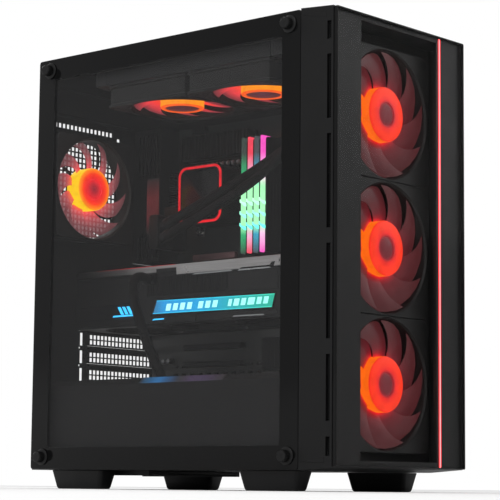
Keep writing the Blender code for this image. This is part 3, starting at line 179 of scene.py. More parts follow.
def loft(rings: Array, loop_rows: bool = False) -> Shape:
    """A closed shell through rings of points, its two end rings filled flat unless it runs round on itself.

    Args:
        rings: ring by ring, an array of rings x points x 3.
        loop_rows: join the last ring to the first in place of filling the ends.

    Returns:
        The shell, facing outwards.
    """
    rows, columns, _ = rings.shape
    faces = [grid_quads(rows, columns, loop_rows)]
    if not loop_rows:
        faces.append(np.arange(columns)[None, ::-1])
        faces.append(np.arange((rows - 1) * columns, rows * columns)[None])
    return outward(Shape(rings.reshape(-1, 3), faces))


def rounded_outline(width: float, height: float, radius: float, steps: int = 4) -> Array:
    """A rectangle with quarter-circle corners: each corner is its centre plus radius times (cos, sin)."""
    turn = np.radians(np.linspace(0.0, 90.0, steps + 1))
    angles = (turn[None] + np.radians([[0.0], [90.0], [180.0], [270.0]])).ravel()
    sign = np.repeat(np.array([(1, 1), (-1, 1), (-1, -1), (1, -1)], float), steps + 1, axis=0)
    centre = sign * (np.array([width, height]) / 2 - radius)
    return centre + radius * np.stack([np.cos(angles), np.sin(angles)], 1)


def on_axis(flat: Array, depth: Array, axis: Axis) -> Array:
    """Points in space from places in a plane and depths along its axis.

    Args:
        flat: places in the plane, with the two plane coordinates last.
        depth: depth of each place along the axis.
        axis: the axis that the plane faces.

    Returns:
        The points, with x, y and z last.
    """
    points = np.empty(flat.shape[:-1] + (3,))
    first, second = axis.plane
    points[..., first], points[..., second] = flat[..., 0], flat[..., 1]
    points[..., axis.value] = depth
    return points


def slab(low: Sequence[float], high: Sequence[float], axis: Axis = Axis.Z, corner: float = 0.0,
         rim: float = 0.3 * MM, steps: int = 3) -> Shape:
    """A plate with rounded corners and a rounded rim.

    Rings of a rounded rectangle run from face to face. Near each face the ring at angle a lies
    rim * (1 - cos a) inside the outline and rim * sin a short of full depth.

    Args:
        low: lowest corner.
        high: highest corner.
        axis: the axis that the plate faces.
        corner: radius of its four corners.
        rim: radius of the rounding between edge and face.
        steps: divisions of each quarter round.

    Returns:
        The closed plate.
    """
    low, high = np.asarray(low, float), np.asarray(high, float)
    size, middle = high - low, (high + low) / 2
    first, second = axis.plane
    rim = min(rim, size.min() / 2 * 0.98)
    corner = min(max(corner, rim * 1.01), size[[first, second]].min() / 2 * 0.99)
    turn = np.radians(np.linspace(90.0, 0.0, steps + 1))
    inset = rim * (1 - np.cos(turn))
    depth = size[axis.value] / 2 - rim * (1 - np.sin(turn))
    insets = np.concatenate([inset, inset[::-1]])
    depths = np.concatenate([depth, -depth[::-1]])
    base = rounded_outline(size[first], size[second], corner, 4 if corner > 0.5 * MM else 1)
    shrink = np.sign(base) * insets[:, None, None]
    arc = rounded_outline(size[first], size[second], corner, 4 if corner > 0.5 * MM else 1)[None] - shrink
    rings = on_axis(arc, np.broadcast_to(depths[:, None], arc.shape[:2]), axis)
    return loft(rings + middle)


def prism(outline: Array, near: float, far: float, axis: Axis, rim: float = 0.2 * MM) -> Shape:
    """An outline given depth, its two faces drawn in by a small chamfer.

    Each point moves inwards along the mean of its two edge normals, so the chamfer has an even width.

    Args:
        outline: points in the plane, anticlockwise.
        near: depth of the first face.
        far: depth of the second face.
        axis: the axis that the faces point along.
        rim: width of the chamfer.

    Returns:
        The closed prism.
    """
    outline = np.asarray(outline, float)
    edge = np.roll(outline, -1, axis=0) - outline
    normal = np.stack([edge[:, 1], -edge[:, 0]], 1) / (np.linalg.norm(edge, axis=1)[:, None] + SMALLEST)
    mean = normal + np.roll(normal, 1, axis=0)
    mean /= (mean ** 2).sum(axis=1)[:, None] / 2 + SMALLEST
    inner = outline - mean * rim
    step = rim if far > near else -rim
    rings = np.stack([inner, outline, outline, inner])
    depths = np.array([near, near + step, far - step, far])
    return loft(on_axis(rings, np.broadcast_to(depths[:, None], rings.shape[:2]), axis))


def turned(profile: Sequence[tuple[float, float]], centre: Sequence[float], direction: Sequence[float],
           steps: int = 32, ring: bool = False, flutes: int = 0, flute_depth: float = 0.0) -> Shape:
    """A turned piece: each profile point (radius, height) is carried round the axis.

    A point at angle a lies at radius * (cos a, sin a) and its height; flutes pull the radius in by
    flute_depth * (1 - cos(flutes * a)) / 2.

    Args:
        profile: radii and heights from one end to the other.
        centre: point on the axis at height 0.
        direction: unit vector along which heights run.
        steps: divisions round the axis.
        ring: close the profile on itself, as for a ring.
        flutes: number of grip flutes round the piece.
        flute_depth: depth of each flute.

    Returns:
        The closed piece.
    """
    profile_points = np.asarray(profile, float)
    angle = np.linspace(0.0, 2 * np.pi, steps, endpoint=False)
    radius = profile_points[:, :1] - flute_depth * (1 - np.cos(flutes * angle))[None] / 2
    height = np.broadcast_to(profile_points[:, 1:], radius.shape)
    local = np.stack([radius * np.cos(angle), radius * np.sin(angle), height], -1)
    return loft(local @ facing(direction).T + np.asarray(centre, float), ring)


def facing(direction: Sequence[float]) -> Array:
    """A rotation that takes local Z to a direction along one of the axes."""
    z = np.asarray(direction, float)
    x = np.array([1.0, 0.0, 0.0]) if abs(z[0]) < 0.5 else np.array([0.0, 1.0, 0.0])
    return np.stack([x, np.cross(z, x), z], 1)


def perforated(low: Sequence[float], high: Sequence[float], axis: Axis, holes: Array) -> Shape:
    """A flat sheet with square holes cut right through.

    The edges of the sheet and of the holes make a grid of cells. A cell is metal unless its middle lies
    in a hole. Metal cells get a face on each side, and a wall stands where metal meets a hole or the edge.

    Args:
        low: lowest corner of the sheet.
        high: highest corner of the sheet.
        axis: the axis that the sheet faces.
        holes: one row per hole: lowest and highest place along the first plane axis, then the second.

    Returns:
        The closed sheet.
    """
    low, high, holes = np.asarray(low, float), np.asarray(high, float), np.asarray(holes, float).reshape(-1, 4)
    first, second = axis.plane
    u = np.unique(np.round(np.clip(np.r_[low[first], high[first], holes[:, 0], holes[:, 1]],
                                   low[first], high[first]), 6))
    v = np.unique(np.round(np.clip(np.r_[low[second], high[second], holes[:, 2], holes[:, 3]],
                                   low[second], high[second]), 6))
    mid_u, mid_v = (u[1:] + u[:-1])[:, None] / 2, (v[1:] + v[:-1])[:, None] / 2
    in_u = (mid_u > holes[:, 0]) & (mid_u < holes[:, 1])
    in_v = (mid_v > holes[:, 2]) & (mid_v < holes[:, 3])
    metal = ~(in_u.astype(int) @ in_v.T.astype(int) > 0)
    across = len(v)
    layer = len(u) * across
    i, j = np.nonzero(metal)
    square = np.stack([i * across + j, (i + 1) * across + j, (i + 1) * across + j + 1, i * across + j + 1], 1)
    padded = np.pad(metal, 1).astype(int)
    faces = [square, square[:, ::-1] + layer]
    for change, along in ((np.diff(padded[:, 1:-1], axis=0), (0, 1)),
                          (np.diff(padded[1:-1], axis=1), (1, 0))):
        for sign in (1, -1):
            a, b = np.nonzero(change == sign)
            start = a * across + b
            end = (a + along[0]) * across + b + along[1]
            wall = np.stack([start, start + layer, end + layer, end], 1)
            flip = (sign > 0) == (along == (0, 1))
            faces.append(wall[:, ::-1] if flip else wall)
    u_grid, v_grid = np.meshgrid(u, v, indexing="ij")
    flat = np.stack([u_grid.ravel(), v_grid.ravel()], 1)
    points = np.concatenate([on_axis(flat, np.full(layer, low[axis.value]), axis),
                             on_axis(flat, np.full(layer, high[axis.value]), axis)])
    quads = np.concatenate(faces)
    used, back = np.unique(quads, return_inverse=True)
    return outward(Shape(points[used], [back.reshape(-1, 4)]))


def hole_grid(u: tuple[float, float], v: tuple[float, float], pitch: tuple[float, float],
              size: tuple[float, float]) -> Array:
    """Rows of equal holes that fill a rectangle, centred in it.

    Args:
        u: lowest and highest place along the first plane axis.
        v: the same along the second.
        pitch: distance between holes along each.
        size: width of a hole along each.

    Returns:
        One row per hole, as perforated takes them.
    """
    centres = []
    for (start, end), step, width in zip((u, v), pitch, size):
        count = int((end - start - width) / step + 1 + SMALLEST)
        centres.append((start + end) / 2 + (np.arange(count) - (count - 1) / 2) * step)
    a, b = (c.ravel() for c in np.meshgrid(*centres, indexing="ij"))
    return np.stack([a - size[0] / 2, a + size[0] / 2, b - size[1] / 2, b + size[1] / 2], 1)


def tube(path: Array, radius: float | Array, reference: Sequence[float], sides: int = 20) -> Shape:
    """A round tube along a path.

    At each path point the section is the point plus radius * (cos a * n + sin a * b), where b is the
    direction of travel crossed with the reference and n is b crossed with the direction of travel.

    Args:
        path: the points of the centreline.
        radius: one radius, or one for each point.
        reference: a direction that the path never runs along.
        sides: points round the section.

    Returns:
        The closed tube, with u round it and v along it in metres.
    """
    travel = np.gradient(path, axis=0)
    travel /= np.linalg.norm(travel, axis=1)[:, None]
    b = np.cross(travel, np.asarray(reference, float))
    b /= np.linalg.norm(b, axis=1)[:, None]
    n = np.cross(b, travel)
    angle = np.linspace(0.0, 2 * np.pi, sides, endpoint=False)
    reach = np.broadcast_to(np.asarray(radius, float), (len(path),))[:, None, None]
    rings = path[:, None] + reach * (np.cos(angle)[None, :, None] * n[:, None]
                                     + np.sin(angle)[None, :, None] * b[:, None])
    shell = loft(rings)
    run = np.r_[0.0, np.cumsum(np.linalg.norm(np.diff(path, axis=0), axis=1))]
    rows = len(path)
    i, j = np.meshgrid(np.arange(rows - 1), np.arange(sides), indexing="ij")
    corners = [(i, j), (i, j + 1), (i + 1, j + 1), (i + 1, j)]
    side_uv = np.stack([np.stack([b_ / sides, run[a_]], -1) for a_, b_ in corners], 2).reshape(-1, 4, 2)
    if shell.faces[0][0, 0] != 0:
        side_uv = side_uv[:, ::-1]
    shell.uv = np.concatenate([side_uv.reshape(-1, 2), np.zeros((2 * sides, 2))])
    return shell


def smooth_path(points: Sequence[Point], per_span: int) -> Array:
    """A smooth curve through points, as cubic spans.

    A span from p to q with end directions m and n is p(2t^3 - 3t^2 + 1) + q(3t^2 - 2t^3)
    + m(t^3 - 2t^2 + t) + n(t^3 - t^2). Each inner direction weighs its two spans by each other's length.

    Args:
        points: the points that the curve passes through, in metres.
        per_span: steps on each span.

    Returns:
        The points of the curve.
    """
    knots = np.asarray(points, float)
    span = np.diff(knots, axis=0)
    length = np.linalg.norm(span, axis=1)[:, None]
    slope = span / length
    inner = (slope[:-1] * length[1:] + slope[1:] * length[:-1]) / (length[:-1] + length[1:])
    heading = np.concatenate([slope[:1], inner, slope[-1:]])
    t = (np.arange(per_span) / per_span)[None, :, None]
    start, end = knots[:-1, None], knots[1:, None]
    curve = (start * (2 * t ** 3 - 3 * t ** 2 + 1) + end * (3 * t ** 2 - 2 * t ** 3)
             + length[:, None] * (heading[:-1, None] * (t ** 3 - 2 * t ** 2 + t)
                                  + heading[1:, None] * (t ** 3 - t ** 2)))
    return np.concatenate([curve.reshape(-1, 3), knots[-1:]])


# --- finishes --------------------------------------------------------------------------------------
class Tree:
    """The node tree of one material, with short ways to add the nodes that the finishes use."""

    def __init__(self, name: str) -> None:
        """Start an empty material of that name."""
        self.material = bpy.data.materials.new(name)
        self.material.use_nodes = True
        self.nodes = self.material.node_tree.nodes
        self.links = self.material.node_tree.links
        self.nodes.clear()
        self.output = self.nodes.new("ShaderNodeOutputMaterial")

    def add(self, kind: str, sockets: dict[Any, Any] | None = None, **settings: Any) -> bpy.types.Node:
        """Add one node.

        Args:
            kind: Blender's name for the node type, without its ShaderNode prefix.
            sockets: input name or index to a value or to another node's output.
            **settings: the node's own settings.

        Returns:
            The new node.
        """
        node = self.nodes.new("ShaderNode" + kind)
        for key, value in settings.items():
            setattr(node, key, value)
        for key, value in (sockets or {}).items():
            if isinstance(value, bpy.types.NodeSocket):
                self.links.new(value, node.inputs[key])
            else:
                node.inputs[key].default_value = value
        return node

    def place(self, centre: Sequence[float] = (0, 0, 0),
              scale: Sequence[float] = (1, 1, 1)) -> bpy.types.NodeSocket:
        """Object coordinates about a centre, stretched by a scale."""
        source = self.add("TexCoord").outputs["Object"]
        shift = self.add("VectorMath", {0: source, 1: tuple(centre)}, operation="SUBTRACT").outputs[0]
        return self.add("VectorMath", {0: shift, 1: tuple(scale)}, operation="MULTIPLY").outputs[0]

    def axis(self, vector: bpy.types.NodeSocket, axis: Axis) -> bpy.types.NodeSocket:
        """One coordinate of a vector."""
        return self.add("SeparateXYZ", {0: vector}).outputs[axis.value]

    def noise(self, vector: bpy.types.NodeSocket, scale: float, detail: float = 2.0) -> bpy.types.NodeSocket:
        """Cloudy noise from 0 to 1."""
        return self.add("TexNoise", {"Vector": vector, "Scale": scale, "Detail": detail}).outputs["Fac"]

    def math(self, operation: str, *values: Any, clamp: bool = False) -> bpy.types.NodeSocket:
        """One sum on numbers or sockets."""
        return self.add("Math", dict(enumerate(values)), operation=operation, use_clamp=clamp).outputs[0]

    def span(self, value: bpy.types.NodeSocket, start: float, end: float, low: float = 0.0,
             high: float = 1.0) -> bpy.types.NodeSocket:
        """Map start..end to low..high, held at both ends."""
        return self.add("MapRange", {0: value, 1: start, 2: end, 3: low, 4: high}).outputs[0]

    def ramp(self, value: bpy.types.NodeSocket,
             stops: Sequence[tuple[float, Colour]]) -> bpy.types.NodeSocket:
        """Colours along a value from 0 to 1."""
        node = self.add("ValToRGB", {0: value})
        elements = node.color_ramp.elements
        while len(elements) < len(stops):
            elements.new(0.5)
        for element, (position, colour) in zip(elements, stops):
            element.position = position
            element.color = (*colour, 1.0)
        return node.outputs[0]

    def bump(self, height: bpy.types.NodeSocket, distance: float,
             strength: float = 1.0) -> bpy.types.NodeSocket:
        """A surface normal that follows a height."""
        return self.add("Bump", {"Height": height, "Distance": distance, "Strength": strength}).outputs[0]

    def finish(self, **sockets: Any) -> bpy.types.Material:
        """End the tree in a Principled shader; underscores in socket names stand for spaces."""
        named = {key.replace("_", " "): value for key, value in sockets.items()}
        shader = self.add("BsdfPrincipled", named)
        self.links.new(shader.outputs[0], self.output.inputs["Surface"])
        return self.material


@dataclass(frozen=True)
class Coating:
    """A painted or moulded surface: fine grain, faint cloudiness and slightly rubbed patches.

    Attributes:
        name: name of the material.
        colour: base colour.
        roughness: mean roughness.
        grain: grains per metre.
        relief: height of the grain in metres.
        metallic: 0 for paint and plastic, 1 for bare metal.
        clouds: how much the colour varies, as a share.
        sheen: strength of its reflections.
    """

    name: str
    colour: Colour
    roughness: float
    grain: float = 900.0
    relief: float = 0.06 * MM
    metallic: float = 0.0
    clouds: float = 0.25
    sheen: float = 0.2

    def material(self) -> bpy.types.Material:
        """Build the node material."""
        tree = Tree(self.name)
        place = tree.place()
        cloud = tree.noise(place, 14.0, 4.0)
        grain = tree.noise(place, self.grain, 2.0)
        rubbed = tree.noise(place, 55.0, 5.0)
        darker = tuple(c * (1 - self.clouds) for c in self.colour)
        lighter = tuple(min(1.0, c * (1 + self.clouds)) for c in self.colour)
        mixed = tree.math("MULTIPLY_ADD", grain, 0.35, tree.math("MULTIPLY", cloud, 0.65))
        return tree.finish(
            Base_Color=tree.ramp(mixed, [(0.3, darker), (0.7, lighter)]),
            Roughness=tree.span(rubbed, 0.35, 0.7, self.roughness * 0.88, min(1.0, self.roughness * 1.12)),
            Metallic=self.metallic, Specular_IOR_Level=self.sheen, Normal=tree.bump(grain, self.relief, 0.6))


@dataclass(frozen=True)
class Brushed:
    """Brushed metal: long fine streaks along one axis, duller and darker towards one end.

    Attributes:
        name: name of the material.
        colour: colour of the end with the painted highlight.
        shade_end_colour: colour of the end in painted shade.
        along: axis of the streaks, and of the painted highlight's fade.
        start: place of the painted highlight.
        end: place of the deepest painted shade.
        roughness: mean roughness.
    """

    name: str
    colour: Colour
    shade_end_colour: Colour
    along: Axis
    start: float
    end: float
    roughness: float = 0.34

    def material(self) -> bpy.types.Material:
        """Build the node material."""
        tree = Tree(self.name)
        stretch = [2400.0, 2400.0, 2400.0]
        stretch[self.along.value] = 18.0
        streak = tree.noise(tree.place(scale=stretch), 1.0, 3.0)
        cloud = tree.noise(tree.place(), 40.0, 3.0)
        # Painted highlight and shade: the base colour fades from the bright colour at start to the dark one at
        # end.
        run = tree.span(tree.axis(tree.place(), self.along), self.start, self.end)
        base = tree.ramp(run, [(0.0, self.colour),
                               (0.5, tuple((a + b) / 2 for a, b in zip(self.colour, self.shade_end_colour))),
                               (1.0, self.shade_end_colour)])
        shade = tree.span(streak, 0.3, 0.7, 0.72, 1.05)
        colour = tree.add("VectorMath", {0: base, "Scale": shade}, operation="SCALE").outputs[0]
        return tree.finish(Base_Color=colour, Metallic=0.85,
                           Roughness=tree.span(cloud, 0.3, 0.7, self.roughness * 0.8, self.roughness * 1.3),
                           Normal=tree.bump(streak, 0.03 * MM, 0.5))


@dataclass(frozen=True)
class Pane:
    """Tinted glass, with an opaque printed border round a clear rectangle.

    The border follows the greatest of the four distances past the rectangle's sides, blurred by a
    fraction of a millimetre at its inner edge, and faint cloudy noise varies the glass's veil.

    Attributes:
        name: name of the material.
        axis: the axis that the pane faces.
        low: lowest corner of the clear rectangle in the pane's plane.
        high: its highest corner.
        veil: how much of the light a face of the glass holds back.
        tint: colour of the glass body.
    """

    name: str
    axis: Axis
    low: tuple[float, float]
    high: tuple[float, float]
    veil: float
    tint: Colour

    def material(self) -> bpy.types.Material:
        """Build the node material."""
        tree = Tree(self.name)
        place = tree.place()
        past = None
        for axis, low, high in zip(self.axis.plane, self.low, self.high):
            value = tree.axis(place, Axis(axis))
            side = tree.math("MAXIMUM", tree.math("SUBTRACT", low, value), tree.math("SUBTRACT", value, high))
            past = side if past is None else tree.math("MAXIMUM", past, side)
        border = tree.span(past, -0.15 * MM, 0.15 * MM)
        smear = tree.noise(place, 22.0, 4.0)
        alpha = tree.math("MAXIMUM", border, tree.span(smear, 0.3, 0.8, self.veil * 0.98, self.veil * 1.03))
        colour = tree.ramp(border, [(0.0, self.tint), (1.0, (0.0060, 0.0060, 0.0062))])
        return tree.finish(Base_Color=colour, Alpha=alpha, IOR=1.5, Specular_IOR_Level=0.12,
                           Roughness=tree.span(smear, 0.3, 0.75, 0.05, 0.11),
                           Normal=tree.bump(tree.noise(place, 9.0, 2.0), 0.05 * MM, 0.25))


@dataclass(frozen=True)
class Glow:
    """Milky plastic lit from inside, its colour running along one axis or out from a centre; also used to
    paint reflections and fallen light as a glow on parts that are no lamps.

    Attributes:
        name: name of the material.
        stops: colours from one end of the run to the other.
        start: place or radius of the first colour.
        end: place or radius of the last colour.
        strength: brightness.
        along: axis of the run, or None for a run outwards from the centre.
        centre: middle of a run outwards.
        spin: axis that a run outwards turns about.
        speckle: how uneven the light is, as a share.
        solid: how opaque the plastic is, from 0 to 1.
    """

    name: str
    stops: tuple[tuple[float, Colour], ...]
    start: float
    end: float
    strength: float
    along: Axis | None = None
    centre: Point = (0.0, 0.0, 0.0)
    spin: Axis = Axis.Y
    speckle: float = 0.2
    solid: float = 1.0

    def material(self) -> bpy.types.Material:
        """Build the node material."""
        tree = Tree(self.name)
        if self.along is not None:
            value = tree.axis(tree.place(), self.along)
        else:
            flat = [1.0, 1.0, 1.0]
            flat[self.spin.value] = 0.0
            away = tree.place(self.centre, flat)
            value = tree.add("VectorMath", {0: away}, operation="LENGTH").outputs["Value"]
        colour = tree.ramp(tree.span(value, self.start, self.end), self.stops)
        cloud = tree.noise(tree.place(), 120.0, 3.0)
        shade = tree.span(cloud, 0.3, 0.7, 1 - self.speckle, 1 + self.speckle)
        lit = tree.add("VectorMath", {0: colour, "Scale": shade}, operation="SCALE").outputs[0]
        return tree.finish(Base_Color=tree.ramp(cloud, [(0.3, (0.010, 0.009, 0.009)),
                                                        (0.7, (0.018, 0.015, 0.015))]),
                           Roughness=tree.span(cloud, 0.3, 0.7, 0.32, 0.45), Specular_IOR_Level=0.2,
                           Emission_Color=lit, Emission_Strength=self.strength, Alpha=self.solid)


@dataclass(frozen=True)
class Sleeve:
    """Braided sleeve of a hose: two sets of strands that cross, worked out from the hose's own UV map, the
    strands' crowns painted lighter as a painted highlight.

    Attributes:
        name: name of the material.
        colour: strand colour.
        strands: strands round the hose.
        pitch: length of one turn of a strand.
    """

    name: str
    colour: Colour
    strands: int = 16
    pitch: float = 26.0 * MM

    def material(self) -> bpy.types.Material:
        """Build the node material."""
        tree = Tree(self.name)
        uv = tree.add("UVMap", uv_map="UVMap").outputs[0]
        turn = tree.math("MULTIPLY", tree.axis(uv, Axis.X), 2 * math.pi * self.strands)
        run = tree.math("MULTIPLY", tree.axis(uv, Axis.Y), 2 * math.pi * self.strands / self.pitch)
        one = tree.math("SINE", tree.math("ADD", turn, run))
        other = tree.math("SINE", tree.math("SUBTRACT", turn, run))
        weave = tree.span(tree.math("MULTIPLY", one, other), -1.0, 1.0)
        fibre = tree.noise(tree.place(), 1800.0, 3.0)
        height = tree.math("MULTIPLY_ADD", fibre, 0.3, weave)
        # Painted highlight: the crowns of the weave get a colour up to 2.2 times lighter than the strands'
        # own, which draws the weave's pattern.
        bright = tuple(min(1.0, c * 2.2) for c in self.colour)
        return tree.finish(Base_Color=tree.ramp(height, [(0.1, self.colour), (1.0, bright)]),
                           Roughness=tree.span(weave, 0.0, 1.0, 0.85, 0.6), Specular_IOR_Level=0.1,
                           Normal=tree.bump(height, 0.35 * MM, 0.8))


@dataclass(frozen=True)
class BoardLacquer:
    """Black solder lacquer over copper tracks: blocks of parallel tracks, some running along and some up."""

    name: str = "board_lacquer"

    def material(self) -> bpy.types.Material:
        """Build the node material."""
        tree = Tree(self.name)
        place = tree.place()
        turned_place = tree.add("CombineXYZ",
                                {0: tree.axis(place, Axis.Y), 1: tree.axis(place, Axis.Z)}).outputs[0]
        blocks = tree.add("TexVoronoi", {"Vector": turned_place, "Scale": 42.0}, distance="CHEBYCHEV")
        tone = tree.axis(blocks.outputs["Color"], Axis.X)
        lines_y = tree.math("SINE", tree.math("MULTIPLY", tree.axis(place, Axis.Y), 5200.0))
        lines_z = tree.math("SINE", tree.math("MULTIPLY", tree.axis(place, Axis.Z), 5200.0))
        upright = tree.math("GREATER_THAN", tone, 0.5)
        lines = tree.add("Mix", {0: upright, 2: lines_y, 3: lines_z}).outputs[0]
        track = tree.span(lines, 0.2, 0.5)
        copper = tree.ramp(track, [(0.0, (0.006, 0.0075, 0.007)), (1.0, (0.016, 0.019, 0.018))])
        return tree.finish(Base_Color=copper,
                           Roughness=tree.span(tree.noise(place, 70.0), 0.3, 0.7, 0.34, 0.5),
                           Normal=tree.bump(track, 0.05 * MM, 0.7), Coat_Weight=0.3)


STEEL = Coating("satin_black_steel", (0.0085, 0.0085, 0.0088), 0.42, 1100.0, 0.05 * MM)
# Painted shade: the shroud is the same black steel as the chassis, given a darker colour to hold back the
# stronger key light on it.
SHADED_SHROUD_STEEL = Coating("shroud_steel_painted_shade", (0.0035, 0.0035, 0.0036), 0.5, 1100.0, 0.04 * MM, sheen=0.1)
PLASTIC = Coating("grained_black_plastic", (0.0062, 0.0062, 0.0065), 0.46, 800.0, 0.07 * MM)
DARK_PLASTIC = Coating("deep_black_plastic", (0.005, 0.005, 0.0055), 0.5, 700.0, 0.05 * MM)
GLOSSY = Coating("gloss_black_plastic", (0.006, 0.006, 0.0065), 0.16, 400.0, 0.01 * MM)
FRAME_PLASTIC = Coating("fan_frame_plastic", (0.010, 0.0095, 0.0095), 0.5, 900.0, 0.05 * MM)
RUBBER = Coating("moulded_rubber", (0.010, 0.010, 0.010), 0.72, 1300.0, 0.09 * MM)
BLACK_ALLOY = Coating("black_painted_alloy", (0.012, 0.012, 0.013), 0.38, 1000.0, 0.05 * MM, 0.3)
NICKEL = Coating("nickel_plate", (0.52, 0.52, 0.50), 0.28, 1200.0, 0.01 * MM, 1.0, 0.1)
CONTACTS = Coating("gold_contacts", (0.70, 0.50, 0.20), 0.3, 900.0, 0.01 * MM, 1.0, 0.1)
SOCKET_BLUE = Coating("socket_blue_plastic", (0.02, 0.10, 0.42), 0.4, 700.0, 0.02 * MM)
CAPACITOR = Coating("capacitor_can", (0.30, 0.30, 0.31), 0.3, 900.0, 0.02 * MM, 0.9)
GRILLE = Coating("rear_grille_steel", (0.016, 0.016, 0.017), 0.5, 1100.0, 0.05 * MM)
MESH = Coating("filter_mesh_nylon", (0.014, 0.014, 0.014), 0.75, 1500.0, 0.08 * MM)

_made: dict[str, bpy.types.Material] = {}


def dressed(look: Any) -> bpy.types.Material:
    """The material of a finish, made once."""
    if look.name not in _made:
        _made[look.name] = look.material()
    return _made[look.name]


# --- pieces ----------------------------------------------------------------------------------------
def piece(name: str, parts: Sequence[tuple[Shape, Any]], body: str,
          stands_for: Sequence[str] = (), crease: float = 35.0) -> bpy.types.Object:
    """Make one finished piece that rides on a body.

    Args:
        name: name of the piece.
        parts: shapes, each with its finish.
        body: the body that it rides on.
        stands_for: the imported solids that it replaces.
        crease: angle in degrees above which an edge stays sharp.

    Returns:
        The new object.
    """
    whole = joined(*(shape for shape, _ in parts))
    mesh = bpy.data.meshes.new(name)
    faces = [row for block in whole.faces for row in block.tolist()]
    mesh.from_pydata(whole.points.tolist(), [], faces)
    looks = []
    for _, look in parts:
        if look not in looks:
            looks.append(look)
            mesh.materials.append(dressed(look))
    index = np.concatenate([np.full(sum(len(f) for f in shape.faces), looks.index(look)) for shape,
                            look in parts])
    mesh.polygons.foreach_set("material_index", index.astype(np.int32))
    if any(shape.uv is not None for shape, _ in parts):
        uv = [shape.uv if shape.uv is not None else np.zeros((sum(f.size for f in shape.faces), 2))
              for shape, _ in parts]
        mesh.uv_layers.new(name="UVMap").data.foreach_set("uv", np.concatenate(uv).ravel())
    mesh.shade_smooth()
    mesh.set_sharp_from_angle(angle=math.radians(crease))
    mesh.update()
    made = bpy.data.objects.new(name, mesh)
    bpy.context.scene.collection.objects.link(made)
    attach(made, body)
    if stands_for:
        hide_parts(*stands_for)
    log.info("%s: %d faces on %s", name, len(faces), body)
    return made


def dress(look: Any, *nodes: str) -> None:
    """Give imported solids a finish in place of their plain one."""
    for node in nodes:
        for place in bpy.data.objects[node].material_slots:
            place.material = dressed(look)
    log.info("%s dresses %d solids", look.name, len(nodes))


def corners(node: str) -> tuple[Array, Array]:
    """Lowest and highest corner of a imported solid."""
    low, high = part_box(node)
    return np.array(low, float), np.array(high, float)


def rod(start: Sequence[float], direction: Sequence[float], radius: float, length: float,
        rim: float = 0.2 * MM, steps: int = 16) -> Shape:
    """A round rod with softened ends, from a start point along a direction."""
    return turned([(radius - rim, 0.0), (radius, rim), (radius, length - rim), (radius - rim, length)],
                  start, direction, steps)


# --- the tower's own places ------------------------------------------------------------------------
ACROSS, DOWN, BACK = -105.0, 20.5, -223.75


def case(x: float, y: float, z: float) -> Array:
    """A point in metres from case mm: x from the window's face, y from the front, z from the floor tray."""
    return np.array([x + ACROSS, y + BACK, z + DOWN]) * MM


def cased(low: Sequence[float], high: Sequence[float], axis: Axis = Axis.Z, corner: float = 0.3,
          rim: float = 0.25) -> Shape:
    """A softened block between two corners in case millimetres, its corner and rim also in millimetres."""
    return slab(case(*low), case(*high), axis, corner * MM, rim * MM, 2)


def in_case(axis: Axis, holes: Array) -> Array:
    """Rows of holes in case millimetres, as rows in metres."""
    shift = np.array([ACROSS, BACK, DOWN])[list(axis.plane)]
    return (np.asarray(holes, float).reshape(-1, 4) + np.repeat(shift, 2)) * MM


